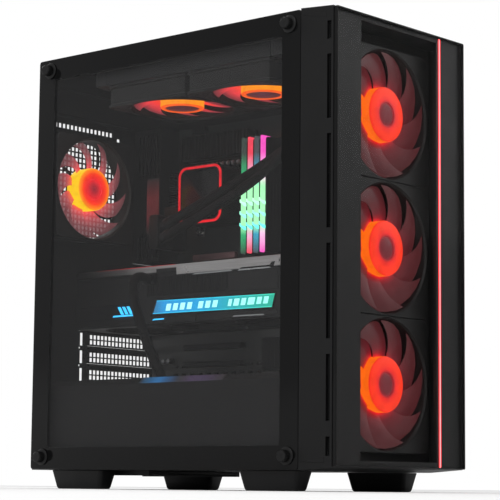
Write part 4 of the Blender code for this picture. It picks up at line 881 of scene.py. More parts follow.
# --- fans ------------------------------------------------------------------------------------------
@dataclass
class Fan:
    """An axial fan: a rotor with curved blades and a lit hub, in a square frame or in a well.

    Attributes:
        name: name that its pieces start with.
        rotor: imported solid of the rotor.
        body: body that the rotor turns with.
        direction: unit vector from the back of the fan to its open face.
        duct: radius of the duct.
        hub: radius of the hub.
        hub_low: height of the hub's back above the frame's back.
        hub_high: height of the hub's open face.
        blades: number of blades.
        glow: brightness of the lit hub, 0 for an unlit fan.
        frame_node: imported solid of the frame, if it has one.
        frame_body: body of the frame.
        cap: radius of the hub's dark cap, as a share of the hub.
        cover: share of the turn between two blades that one blade covers.
        solid: how opaque the blades are.
        colours: the light of the hub, the cap and the blades.
    """

    name: str
    rotor: str
    body: str
    direction: Point
    duct: float
    hub: float
    hub_low: float
    hub_high: float
    blades: int = 9
    glow: float = 0.0
    frame_node: str = ""
    frame_body: str = "chassis"
    cap: float = 0.44
    cover: float = 0.62
    solid: float = 1.0
    colours: Any = None
    origin: Array = field(init=False)

    def __post_init__(self) -> None:
        """Find the middle of the fan's back face from the rotor's box."""
        low, high = corners(self.rotor)
        along = np.array(self.direction)
        middle = (low + high) / 2
        axis = int(np.abs(along).argmax())
        top = high[axis] if along[axis] > 0 else low[axis]
        middle[axis] = top - along[axis] * self.hub_high
        self.origin = middle

    @property
    def spin(self) -> Axis:
        """The axis that the rotor turns about."""
        return Axis(int(np.abs(np.array(self.direction)).argmax()))

    def blade(self, stations: int = 9, around: int = 14) -> Shape:
        """One blade.

        At share s of its length the section's middle lies at radius r(s) and angle sweep * s^1.5. The
        pitch is about 20 degrees, less where the blades overlap, and the root sits towards the back of the
        fan. The chord is as long as covering its share of the turn at that radius needs. The camber is a
        sine arch and the thickness a half-ellipse about it.

        Args:
            stations: sections from root to tip.
            around: points round each section.

        Returns:
            The closed blade, about the fan's own axis.
        """
        s = np.linspace(0.0, 1.0, stations)[:, None]
        tip = self.duct - 1.6 * MM
        radius = self.hub - 0.8 * MM + (tip - self.hub + 0.8 * MM) * s
        pitch = np.radians((24.0 - 3.0 * s) / max(1.0, self.cover))
        chord = self.cover * radius * (2 * np.pi / self.blades) / np.cos(pitch)
        turn = np.linspace(0.0, 2 * np.pi, around, endpoint=False)[None]
        across = np.cos(turn) / 2
        thick = np.sin(turn) * (0.75 * MM) * (1 - 0.35 * s)
        camber = 0.05 * chord * np.cos(np.pi * across)
        height = across * chord * np.sin(pitch) + (thick + camber) * np.cos(pitch)
        sideways = across * chord * np.cos(pitch) - (thick + camber) * np.sin(pitch)
        limit = (self.hub_high - self.hub_low) / 2 - 0.6 * MM
        height = height - 0.25 * (self.hub_high - self.hub_low) * (1 - s) ** 1.5
        height = np.clip(height, -limit, limit) + (self.hub_low + self.hub_high) / 2 + 0.2 * MM
        angle = 0.5 * s ** 1.5 + sideways / radius
        return loft(np.stack([radius * np.cos(angle), radius * np.sin(angle), height], -1))

    def hub_parts(self) -> list[tuple[Shape, Any]]:
        """The hub's skirt, its lit rim and its dark cap, each a turned piece about the fan's axis."""
        rim = 2.0 * MM
        inner = self.cap * self.hub
        top, low = self.hub_high, self.hub_low
        skirt = turned([(self.hub - rim, low), (self.hub, low + 0.6 * MM), (self.hub, top - rim),
                        (self.hub - 0.3 * rim, top - 0.3 * rim), (self.hub - rim, top), (inner, top),
                        (inner - 0.6 * MM, top - 0.7 * MM), (inner - 0.6 * MM, low)],
                       (0, 0, 0), (0, 0, 1), 56, ring=True)
        cap = turned([(inner - 0.7 * MM, low + 0.4 * MM), (inner - 0.7 * MM, top - 1.0 * MM),
                      (inner - 1.3 * MM, top - 0.7 * MM), (0.2 * inner, top - 0.5 * MM)],
                     (0, 0, 0), (0, 0, 1), 40)
        if not self.glow:
            return [(skirt, PLASTIC), (cap, DARK_PLASTIC)]
        return [(skirt, self.light("hub")), (cap, self.light("cap"))]

    def light(self, part: str) -> Glow:
        """The glow of one part of the rotor: its hub, its cap or its blades."""
        reach = {"hub": (0.0, self.hub), "cap": (0.0, self.hub), "blades": (self.hub, self.duct)}[part]
        return Glow(f"{self.name}_{part}_light", self.colours[part], *reach, self.glow,
                    centre=tuple(float(c) for c in self.origin), spin=self.spin, speckle=0.1,
                    solid=self.solid if part == "blades" else 1.0)

    def build_rotor(self) -> bpy.types.Object:
        """Blades at even angles round the hub, placed on the rotor's own axis."""
        blade = self.blade()
        angles = 2 * np.pi * np.arange(self.blades) / self.blades
        ring = joined(*(blade.mapped(np.array(Matrix.Rotation(a, 3, "Z"))) for a in angles))
        turn = facing(self.direction)
        parts = [(ring, self.light("blades") if self.glow else PLASTIC)] + self.hub_parts()
        placed = [(shape.mapped(turn).moved(self.origin), look) for shape, look in parts]
        return piece(f"{self.name}_rotor_detail", placed, self.body,
                     [self.rotor])

    def build_frame(self) -> bpy.types.Object:
        """Square frame with a round duct, curved struts, a bearing disc and corner pads.

        The wall is one ring: its outer line is a square whose corners a superellipse rounds, at radius
        half / (|cos a|^n + |sin a|^n)^(1/n), and its inner line is the duct's circle, flared at both faces.
        """
        low, high = corners(self.frame_node)
        size = high - low
        side = float(np.sort(size)[1])
        depth = float(size[self.spin.value])
        half, power = side / 2, 22.0
        angle = np.linspace(0.0, 2 * np.pi, 96, endpoint=False)
        square = half / (np.abs(np.cos(angle)) ** power + np.abs(np.sin(angle)) ** power) ** (1 / power)
        duct = self.duct + 0 * angle
        rows = [(square - 0.8 * MM, 0.0), (square, 0.8 * MM), (square, 3.2 * MM),
                (square - 2.2 * MM, 4.0 * MM),
                (square - 2.2 * MM, depth - 4.0 * MM), (square, depth - 3.2 * MM), (square, depth - 0.8 * MM),
                (square - 0.8 * MM, depth), (np.minimum(duct + 1.6 * MM, square - 1.0 * MM), depth),
                (duct, depth - 2.2 * MM), (duct, 2.2 * MM),
                (np.minimum(duct + 1.6 * MM, square - 1.0 * MM), 0.0)]
        rings = np.stack([np.stack([r * np.cos(angle), r * np.sin(angle), np.full_like(angle, h)], -1)
                          for r, h in rows])
        wall = loft(rings, loop_rows=True)
        bearing = 0.94 * self.hub
        disc = turned([(2.0 * MM, 0.2 * MM), (bearing - 1.0 * MM, 0.2 * MM), (bearing, 0.9 * MM),
                       (bearing, 2.4 * MM), (2.0 * MM, 2.4 * MM)], (0, 0, 0), (0, 0, 1), 40, ring=True)
        struts = [self.strut(bearing, a) for a in np.radians([45.0, 135.0, 225.0, 315.0])]
        pad = turned([(2.1 * MM, -0.05 * MM), (4.2 * MM, -0.05 * MM), (4.6 * MM, 0.3 * MM),
                      (4.6 * MM, 1.5 * MM),
                      (2.1 * MM, 1.5 * MM)], (0, 0, 0), (0, 0, 1), 16, ring=True)
        spots = np.array([(sx, sy, 0.0) for sx in (-1, 1) for sy in (-1, 1)]) * (half - 7.4 * MM)
        shift = np.array([0.0, 0.0, depth - 1.4 * MM])
        parts = [(joined(wall, disc, *struts), FRAME_PLASTIC), (copies(pad, spots + shift), RUBBER)]
        turn = facing(self.direction)
        placed = [(shape.mapped(turn).moved(self.origin), look) for shape, look in parts]
        return piece(f"{self.name}_frame_detail", placed, self.frame_body, [self.frame_node])

    def strut(self, start: float, angle: float) -> Shape:
        """One strut from the bearing to the wall: a thin bar whose line bends by 0.35 rad as it goes out."""
        s = np.linspace(0.0, 1.0, 8)[:, None]
        radius = start - 1.0 * MM + (self.duct - start + 2.0 * MM) * s
        bend = angle + 0.35 * s ** 2
        section = np.array([(-1.6, 0.3), (1.6, 0.3), (1.1, 2.3), (-1.1, 2.3)]) * MM
        along = np.stack([np.cos(bend), np.sin(bend)], -1)
        aside = np.stack([-np.sin(bend), np.cos(bend)], -1)
        flat = along * radius[..., None] + aside * section[None, :, :1]
        return loft(np.concatenate([flat, np.broadcast_to(section[None, :, 1:], flat.shape[:2] + (1,))], -1))

    def build(self) -> None:
        """Build the rotor and, where there is one, the frame."""
        self.build_rotor()
        if self.frame_node:
            self.build_frame()


FRONT_LIGHT = {
    "hub": ((0.0, (0.16, 0.010, 0.016)), (0.42, (0.30, 0.010, 0.018)), (0.52, (0.85, 0.010, 0.008)),
            (0.72, (1.0, 0.030, 0.003)), (0.94, (1.0, 0.032, 0.003)), (0.985, (0.95, 0.012, 0.008)),
            (1.0, (1.0, 0.15, 0.002))),
    "cap": ((0.0, (0.13, 0.011, 0.017)), (0.30, (0.14, 0.011, 0.017)), (0.44, (0.32, 0.010, 0.018))),
    "blades": ((0.0, (0.85, 0.006, 0.016)), (0.10, (0.30, 0.009, 0.016)), (0.22, (0.135, 0.009, 0.015)),
               (0.38, (0.098, 0.010, 0.014)), (0.58, (0.076, 0.010, 0.013)), (1.0, (0.058, 0.009, 0.011)))}
REAR_LIGHT = {
    "hub": ((0.0, (0.30, 0.012, 0.03)), (0.5, (0.85, 0.012, 0.016)), (0.72, (1.0, 0.035, 0.004)),
            (0.86, (1.0, 0.16, 0.001)), (0.97, (1.0, 0.28, 0.001)), (1.0, (1.0, 0.60, 0.001))),
    "cap": ((0.0, (0.24, 0.012, 0.026)), (0.2, (0.45, 0.012, 0.024)), (0.5, (0.88, 0.012, 0.016))),
    "blades": ((0.0, (1.0, 0.05, 0.05)), (0.14, (0.72, 0.07, 0.08)), (0.34, (0.40, 0.065, 0.075)),
               (0.6, (0.20, 0.05, 0.058)), (1.0, (0.10, 0.035, 0.04)))}
ROOF_LIGHT = {
    "hub": ((0.0, (0.08, 0.018, 0.026)), (0.80, (0.9, 0.10, 0.004)), (0.92, (1.0, 0.12, 0.002)),
            (0.98, (1.0, 0.09, 0.003)), (1.0, (1.0, 0.30, 0.001))),
    "cap": ((0.0, (0.075, 0.018, 0.024)), (0.70, (0.085, 0.018, 0.024)), (0.82, (0.4, 0.03, 0.01))),
    "blades": ((0.0, (1.0, 0.09, 0.015)), (0.2, (0.95, 0.045, 0.03)), (0.45, (0.75, 0.04, 0.05)),
               (0.75, (0.32, 0.03, 0.04)), (1.0, (0.09, 0.02, 0.025)))}


def all_fans() -> list[Fan]:
    """The case's nine lit and dark fans, and the fan of the power supply."""
    front, rear, down = (0.0, -1.0, 0.0), (0.0, -1.0, 0.0), (0.0, 0.0, -1.0)
    large = dict(duct=67.0 * MM, hub=28.8 * MM, hub_low=3.4 * MM, hub_high=24.0 * MM)
    small = dict(duct=57.0 * MM, hub=24.5 * MM, hub_low=3.4 * MM, hub_high=24.0 * MM)
    fans = [Fan(f"front_fan_{n}", f"front_fan_rotor_{n}", f"front_fan_{n}", front, glow=1.1, cover=1.45,
                frame_node=f"front_fan_frame_{n}", colours=FRONT_LIGHT, **large) for n in (1, 2, 3)]
    fans.append(Fan("rear_fan", "rear_fan_rotor", "rear_fan", rear, glow=1.1, frame_node="rear_fan_frame",
                    cap=0.5, cover=0.7, solid=0.72, colours=REAR_LIGHT, **small))
    fans += [Fan(f"radiator_fan_{n}", f"radiator_fan_rotor_{n}", f"radiator_fan_{n}", down, glow=1.1, cap=0.8,
                 cover=1.45, frame_node=f"radiator_fan_frame_{n}", colours=ROOF_LIGHT,
                 **small) for n in (1, 2)]
    fans += [Fan(f"card_fan_{n}", f"graphics_fan_rotor_{n}", f"card_fan_{n}", down, duct=43.6 * MM,
                 hub=15.0 * MM, hub_low=1.0 * MM, hub_high=12.0 * MM, blades=11) for n in (1, 2, 3)]
    fans.append(Fan("supply_fan", "power_supply_rotor", "supply_fan", down, duct=57.4 * MM, hub=21.0 * MM,
                    hub_low=1.0 * MM, hub_high=19.0 * MM, blades=7))
    return fans


# --- casework --------------------------------------------------------------------------------------
@dataclass
class Glazing:
    """The window with its printed border, the dark front glass and the light strip behind it.

    Attributes:
        border: width of the window's printed border at the top and bottom.
        front_border: its width at the front.
        rear_border: its width at the rear.
    """

    border: float = 24.0 * MM
    front_border: float = 24.2 * MM
    rear_border: float = 26.0 * MM

    def build(self) -> None:
        """Build both panes and the strip."""
        low, high = corners("side_glass")
        look = Pane("window_glass", Axis.X, (low[1] + self.front_border, low[2] + self.border),
                    (high[1] - self.rear_border, high[2] - self.border), 0.07, (0.17, 0.17, 0.173))
        piece("window_pane", [(slab(low, high, Axis.X, 3.0 * MM, 0.6 * MM), look)], "window",
              ["side_glass"])
        low, high = corners("front_glass")
        look = Pane("front_dark_glass", Axis.Y, (low[0] + 1.2 * MM, low[2] + 1.2 * MM),
                    (high[0] - 1.2 * MM, high[2] - 1.2 * MM), 0.07, (0.012, 0.012, 0.012))
        piece("front_pane", [(slab(low, high, Axis.Y, 1.5 * MM, 0.6 * MM), look)], "front_panel",
              ["front_glass"])
        low, high = corners("light_strip")
        edge, core = (1.0, 0.03, 0.035), (1.0, 0.30, 0.33)
        look = Glow("strip_light",
                    ((0.0, edge), (0.28, edge), (0.42, core), (0.62, core), (0.78, edge), (1.0, edge)),
                    float(low[0]), float(high[0]), 2.4, along=Axis.X, speckle=0.1)
        piece("light_strip_diffuser", [(slab(low, high, Axis.Y, 0.8 * MM, 0.5 * MM), look)], "front_panel",
              ["light_strip"])


@dataclass
class Thumbscrew:
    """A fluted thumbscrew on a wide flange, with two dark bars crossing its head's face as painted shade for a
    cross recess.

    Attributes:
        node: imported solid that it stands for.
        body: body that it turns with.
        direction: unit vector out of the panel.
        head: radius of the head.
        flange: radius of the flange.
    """

    node: str
    body: str
    direction: Point
    head: float = 6.2 * MM
    flange: float = 9.0 * MM

    def build(self) -> None:
        """Turn the flange, the fluted head and the shaft, and lay two dark crossing bars on the head's face,
        painted shade standing for a cross recess.
        """
        low, high = corners(self.node)
        along = np.array(self.direction)
        axis = int(np.abs(along).argmax())
        tip = (low + high) / 2
        tip[axis] = high[axis] if along[axis] > 0 else low[axis]
        foot = tip - along * 10.0 * MM
        flange = turned([(2.4 * MM, 0.3 * MM), (self.flange - 0.4 * MM, 0.3 * MM), (self.flange, 0.7 * MM),
                         (self.flange, 1.6 * MM), (self.flange - 0.6 * MM, 2.1 * MM),
                         (self.head - 1.0 * MM, 2.4 * MM)],
                        foot, along, 40)
        head = turned([(self.head - 0.5 * MM, 2.2 * MM), (self.head, 2.9 * MM), (self.head, 8.4 * MM),
                       (self.head - 0.35 * MM, 9.3 * MM), (self.head - 1.1 * MM, 9.95 * MM)],
                      foot, along, 96, flutes=24, flute_depth=0.45 * MM)
        shaft = rod(foot - along * 7.0 * MM, along, 2.3 * MM, 8.0 * MM)
        # Painted shade: two dark bars, 0.05 mm proud of the head, stand for the shade in a cross recess.
        bar = slab((-3.0 * MM, -0.75 * MM, 9.5 * MM), (3.0 * MM, 0.75 * MM, 10.0 * MM), Axis.Z, 0.3 * MM,
                   0.1 * MM)
        other = slab((-0.75 * MM, -3.0 * MM, 9.5 * MM), (0.75 * MM, 3.0 * MM, 9.99 * MM), Axis.Z, 0.3 * MM,
                     0.1 * MM)
        cross = joined(bar, other).mapped(np.array(Matrix.Rotation(0.4, 3, "Z"))).mapped(
            facing(along)).moved(foot)
        piece(f"{self.node}_detail", [(joined(flange, head, shaft), STEEL), (cross, DARK_PLASTIC)],
              self.body, [self.node])


@dataclass
class Casework:
    """Bezel, sheets, feet, filters, port panel and buttons.

    Attributes:
        mesh_pitch: pitch of the dust filters' mesh.
        mesh_hole: width of a hole in it.
    """

    mesh_pitch: float = 4.0 * MM
    mesh_hole: float = 2.7 * MM

    def build(self) -> None:
        """Build every piece of the casework and finish the plain sheets."""
        dress(STEEL, "chassis_base", "chassis_front", "motherboard_tray", "side_panel")
        # The shroud takes the darker steel, which is painted shade.
        dress(SHADED_SHROUD_STEEL, "power_shroud")
        dress(PLASTIC, "front_bezel", "top_port_panel")
        self.build_bezel_trim()
        self.build_feet()
        self.build_roof()
        self.build_filters()
        self.build_controls()
        self.build_side_ribs()
        for n in range(1, 5):
            Thumbscrew(f"side_thumbscrew_{n}", f"window_screw_{n}", (-1.0, 0.0, 0.0)).build()
        for n in (1, 2):
            Thumbscrew(f"rear_thumbscrew_{n}", f"panel_screw_{n}", (0.0, 1.0, 0.0)).build()

    def build_bezel_trim(self) -> None:
        """Thin facets on the bezel's sides and a mesh behind each row of intake slots."""
        parts: list[tuple[Shape, Any]] = []
        low, high = corners("front_bezel")
        for side, face in ((1.0, low[0]), (-1.0, high[0])):
            for end, sign in ((high[2], -1.0), (low[2], 1.0)):
                near = end + sign * 7.0 * MM
                outline = [(low[1] + 9.5 * MM, near), (high[1] - 2.5 * MM, near + sign * 1.0 * MM),
                           (low[1] + 9.5 * MM, near + sign * 6.5 * MM)]
                order = outline if sign > 0 else outline[::-1]
                proud = 0.45 * MM if side > 0 else 0.0
                parts.append((prism(np.array(order), face - proud, face + side * 0.3 * MM, Axis.X,
                                    0.4 * MM), PLASTIC))
            inner = face + side * 2.6 * MM
            v = (low[2] + 8.0 * MM, high[2] - 8.0 * MM)
            u = (low[1] + 4.6 * MM, low[1] + 10.6 * MM)
            holes = hole_grid(u, v, (1.9 * MM, 2.2 * MM), (1.2 * MM, 1.5 * MM))
            box_low = [min(inner, inner + side * 0.5 * MM), u[0], v[0]]
            box_high = [max(inner, inner + side * 0.5 * MM), u[1], v[1]]
            parts.append((perforated(box_low, box_high, Axis.X, holes), DARK_PLASTIC))
        piece("bezel_trim", parts, "front_panel")

    def build_feet(self) -> None:
        """Four feet: rings of a rounded rectangle that shrink towards the floor and turn under at the edge."""
        for n in range(1, 5):
            low, high = corners(f"foot_{n}")
            middle, size = (low + high) / 2, high - low
            share = np.array([0.0, 0.02, 0.1, 0.5, 0.86, 0.95, 0.985, 1.0])
            across = size[0] * (1 - 0.28 * share - np.array([0.03, 0, 0, 0, 0, 0.02, 0.06, 0.12]))
            along = size[1] * (1 - 0.12 * share - np.array([0.01, 0, 0, 0, 0, 0.008, 0.02, 0.045]))
            rings = np.stack([np.c_[rounded_outline(w, d, 5.0 * MM, 5), np.full(24, 0.0)]
                              for w, d in zip(across, along)])
            rings[..., 2] = (high[2] - share * size[2])[:, None]
            rings[..., :2] += middle[:2]
            sole = slab((middle[0] - 0.30 * size[0], middle[1] - 0.38 * size[1], low[2] + 0.02 * MM),
                        (middle[0] + 0.30 * size[0], middle[1] + 0.38 * size[1], low[2] + 1.0 * MM),
                        Axis.Z, 3.0 * MM, 0.3 * MM)
            piece(f"foot_{n}_detail", [(loft(rings), PLASTIC), (sole, RUBBER)], "chassis",
                  [f"foot_{n}"])

    def build_roof(self) -> None:
        """Roof sheet with rows of air holes over the radiator, and its three lips."""
        low, high = corners("chassis_top")
        sheet = 1.2 * MM
        f_low, f_high = corners("top_dust_filter")
        holes = hole_grid((f_low[0] + 12 * MM, f_high[0] - 12 * MM),
                          (f_low[1] + 12 * MM, f_high[1] - 12 * MM),
                          (8.0 * MM, 8.0 * MM), (5.6 * MM, 5.6 * MM))
        p_low, p_high = corners("top_port_panel")
        opening = [[p_low[0] - 0.3 * MM, p_high[0] + 0.3 * MM, p_low[1] - 0.3 * MM, p_high[1] + 0.3 * MM]]
        top = perforated((low[0], low[1], high[2] - sheet), high, Axis.Z, np.concatenate([holes, opening]))
        under = high[2] - sheet
        lips = [slab((low[0], low[1], low[2]), (high[0], low[1] + sheet, under), Axis.Y, rim=0.2 * MM),
                slab((low[0], low[1] + sheet, low[2]), (low[0] + sheet, high[1], under), Axis.X,
                     rim=0.2 * MM),
                slab((high[0] - sheet, low[1] + sheet, low[2]), (high[0], high[1], under), Axis.X,
                     rim=0.2 * MM)]
        piece("roof_sheet", [(joined(top, *lips), STEEL)], "chassis", ["chassis_top"])

    def build_filters(self) -> None:
        """Dust filters: a woven sheet of square holes in a moulded border, the lower one with its pull tab."""
        for node, body, margin in (("top_dust_filter", "top_filter", 7.0 * MM),
                                   ("bottom_dust_filter", "bottom_filter", 6.0 * MM)):
            low, high = corners(node)
            if node == "bottom_dust_filter":
                high = high - np.array([0.0, 6.0 * MM + 1.5 * MM, 0.0])
            holes = hole_grid((low[0] + margin, high[0] - margin), (low[1] + margin, high[1] - margin),
                              (self.mesh_pitch,) * 2, (self.mesh_hole,) * 2)
            middle = (low[2] + high[2]) / 2
            web = perforated((low[0] + 2 * MM, low[1] + 2 * MM, middle - 0.2 * MM),
                             (high[0] - 2 * MM, high[1] - 2 * MM, middle + 0.2 * MM), Axis.Z, holes)
            bars = self.filter_border(low, high, margin)
            parts = [(web, MESH), (bars, PLASTIC)]
            if node == "bottom_dust_filter":
                centre = (low[0] + high[0]) / 2
                tab = slab((centre - 20 * MM, high[1] - 3 * MM, low[2] + 0.2 * MM),
                           (centre + 20 * MM, high[1] + 7.5 * MM, high[2] - 0.2 * MM), Axis.Z, 2.5 * MM,
                           0.5 * MM)
                ribs = copies(slab((centre - 12 * MM, high[1] + 3.0 * MM, high[2] - 0.35 * MM),
                                   (centre + 12 * MM, high[1] + 3.6 * MM, high[2] + 0.15 * MM), Axis.Z,
                                   rim=0.1 * MM),
                              [(0, step * MM, 0) for step in (0.0, 1.4, 2.8)])
                parts.append((joined(tab, ribs), PLASTIC))
            piece(f"{node}_detail", parts, body, [node])

    @staticmethod
    def filter_border(low: Array, high: Array, margin: float) -> Shape:
        """Four border bars and two crossing bars of a filter."""
        x0, y0, z0 = low
        x1, y1, z1 = high
        bar = 2.0 * MM
        middle_x, middle_y = (x0 + x1) / 2, (y0 + y1) / 2
        boxes = [((x0, y0, z0), (x0 + margin, y1, z1)), ((x1 - margin, y0, z0), (x1, y1, z1)),
                 ((x0 + margin, y0, z0), (x1 - margin, y0 + margin, z1)),
                 ((x0 + margin, y1 - margin, z0), (x1 - margin, y1, z1)),
                 ((middle_x - bar, y0 + margin, z0), (middle_x + bar, y1 - margin, z1)),
                 ((x0 + margin, middle_y - bar, z0), (middle_x - bar, middle_y + bar, z1)),
                 ((middle_x + bar, middle_y - bar, z0), (x1 - margin, middle_y + bar, z1))]
        return joined(*(slab(a, b, Axis.Z, 0.4 * MM, 0.3 * MM, 2) for a, b in boxes))

    def build_controls(self) -> None:
        """Buttons with dished tops, the light ring of the power button, and the sockets' metal and tongues."""
        for node, ring in (("power_button", True), ("reset_button", False)):
            low, high = corners(node)
            radius = (high[0] - low[0]) / 2
            centre = (low + high) / 2 * (1, 1, 0)
            height = high[2]
            cap = turned([(radius - 0.3 * MM, low[2]), (radius, low[2] + 0.3 * MM),
                          (radius, height - 0.5 * MM),
                          (radius - 0.4 * MM, height - 0.05 * MM), (0.72 * radius, height - 0.15 * MM),
                          (0.35 * radius, height - 0.45 * MM), (0.1 * radius, height - 0.5 * MM)],
                         centre, (0, 0, 1), 32)
            parts = [(cap, GLOSSY)]
            if ring:
                halo = turned([(0.50 * radius, height - 0.7 * MM), (0.62 * radius, height - 0.7 * MM),
                               (0.62 * radius, height - 0.12 * MM), (0.50 * radius, height - 0.18 * MM)],
                              centre, (0, 0, 1), 32, ring=True)
                look = Glow("power_ring_light", ((0.0, (0.9, 0.25, 0.2)), (1.0, (1.0, 0.4, 0.3))),
                            float(low[0]),
                            float(high[0]), 1.2, along=Axis.X)
                parts.append((halo, look))
            piece(f"{node}_cap", parts, node, [node])
        top = float(corners("top_port_panel")[1][2] / MM - DOWN)
        parts = []
        for x in (142.5, 124.5):
            parts.append((self.usb_port(case(x, 63.3, top - 12), case(x + 12.8, 68.7, top), Axis.Z, 1.0),
                          NICKEL))
            parts.append((cased((x + 1.2, 66.1, top - 11.5), (x + 11.6, 67.7, top - 1.5), Axis.Z, 0.2, 0.1),
                          SOCKET_BLUE))
        for x in (119.0, 112.0):
            parts.append((turned([(1.45 * MM, -9 * MM), (1.78 * MM, -9 * MM), (1.78 * MM, 0.15 * MM),
                                  (2.6 * MM, 0.15 * MM), (2.6 * MM, 0.4 * MM), (1.45 * MM, 0.4 * MM)],
                                 case(x, 66, top), (0, 0, 1), 24, ring=True), NICKEL))
        piece("top_port_fittings", parts, "chassis")

    @staticmethod
    def usb_port(low: Array, high: Array, axis: Axis, outward_sign: float) -> Shape:
        """The bent metal shell that lines a socket: a tube of four thin walls."""
        wall = 0.3 * MM
        first, second = axis.plane
        walls = []
        for a, b in ((first, second), (second, first)):
            for end in (0, 1):
                w_low, w_high = low.copy(), high.copy()
                if end:
                    w_low[a] = high[a] - wall
                else:
                    w_high[a] = low[a] + wall
                if a == second:
                    w_low[b] += wall
                    w_high[b] -= wall
                w_low[axis.value] += 0.2 * MM if outward_sign > 0 else -0.1 * MM
                walls.append(slab(w_low, w_high, axis, rim=0.05 * MM, steps=1))
        return joined(*walls)

    def build_side_ribs(self) -> None:
        """Grommets with split flaps round the tray's cable slots, and stiffening ribs on the tray."""
        low, high = corners("motherboard_tray")
        front, back = low[0] - 1.1 * MM, high[0] + 1.1 * MM
        lips = []
        for z in (131.5, 226.5, 321.5):
            y0, y1, z0, z1 = 154.5, 180.5, z, z + 46.0
            outer = rounded_outline(29.0 * MM, 49.0 * MM, 7.0 * MM, 5)
            inner = rounded_outline(24.4 * MM, 44.4 * MM, 5.0 * MM, 5)
            middle = case(0, (y0 + y1) / 2, (z0 + z1) / 2)[1:]
            rows = [(inner, front), (outer, front), (outer, low[0] - 0.2 * MM),
                    (inner * 1.02, low[0] - 0.2 * MM),
                    (inner * 1.02, high[0] + 0.2 * MM), (outer, high[0] + 0.2 * MM), (outer, back),
                    (inner, back)]
            rings = np.stack([on_axis(r + middle, np.full(len(r), x), Axis.X) for r, x in rows])
            lips.append(loft(rings, loop_rows=True))
            flap = cased((198.6, y0 + 1.5, z0 + 1.5), (199.2, (y0 + y1) / 2 - 0.4, z1 - 1.5), Axis.X, 3.0,
                         0.2)
            lips += [flap, flap.moved((0, 12.0 * MM, 0))]
        ribs = [cased((197.4, y, 120), (198.25, y + 5, 440), Axis.X, 2.0, 0.5)
                for y in (64.0, 132.0)]
        piece("cable_grommets", [(joined(*lips), RUBBER), (joined(*ribs), STEEL)], "chassis")



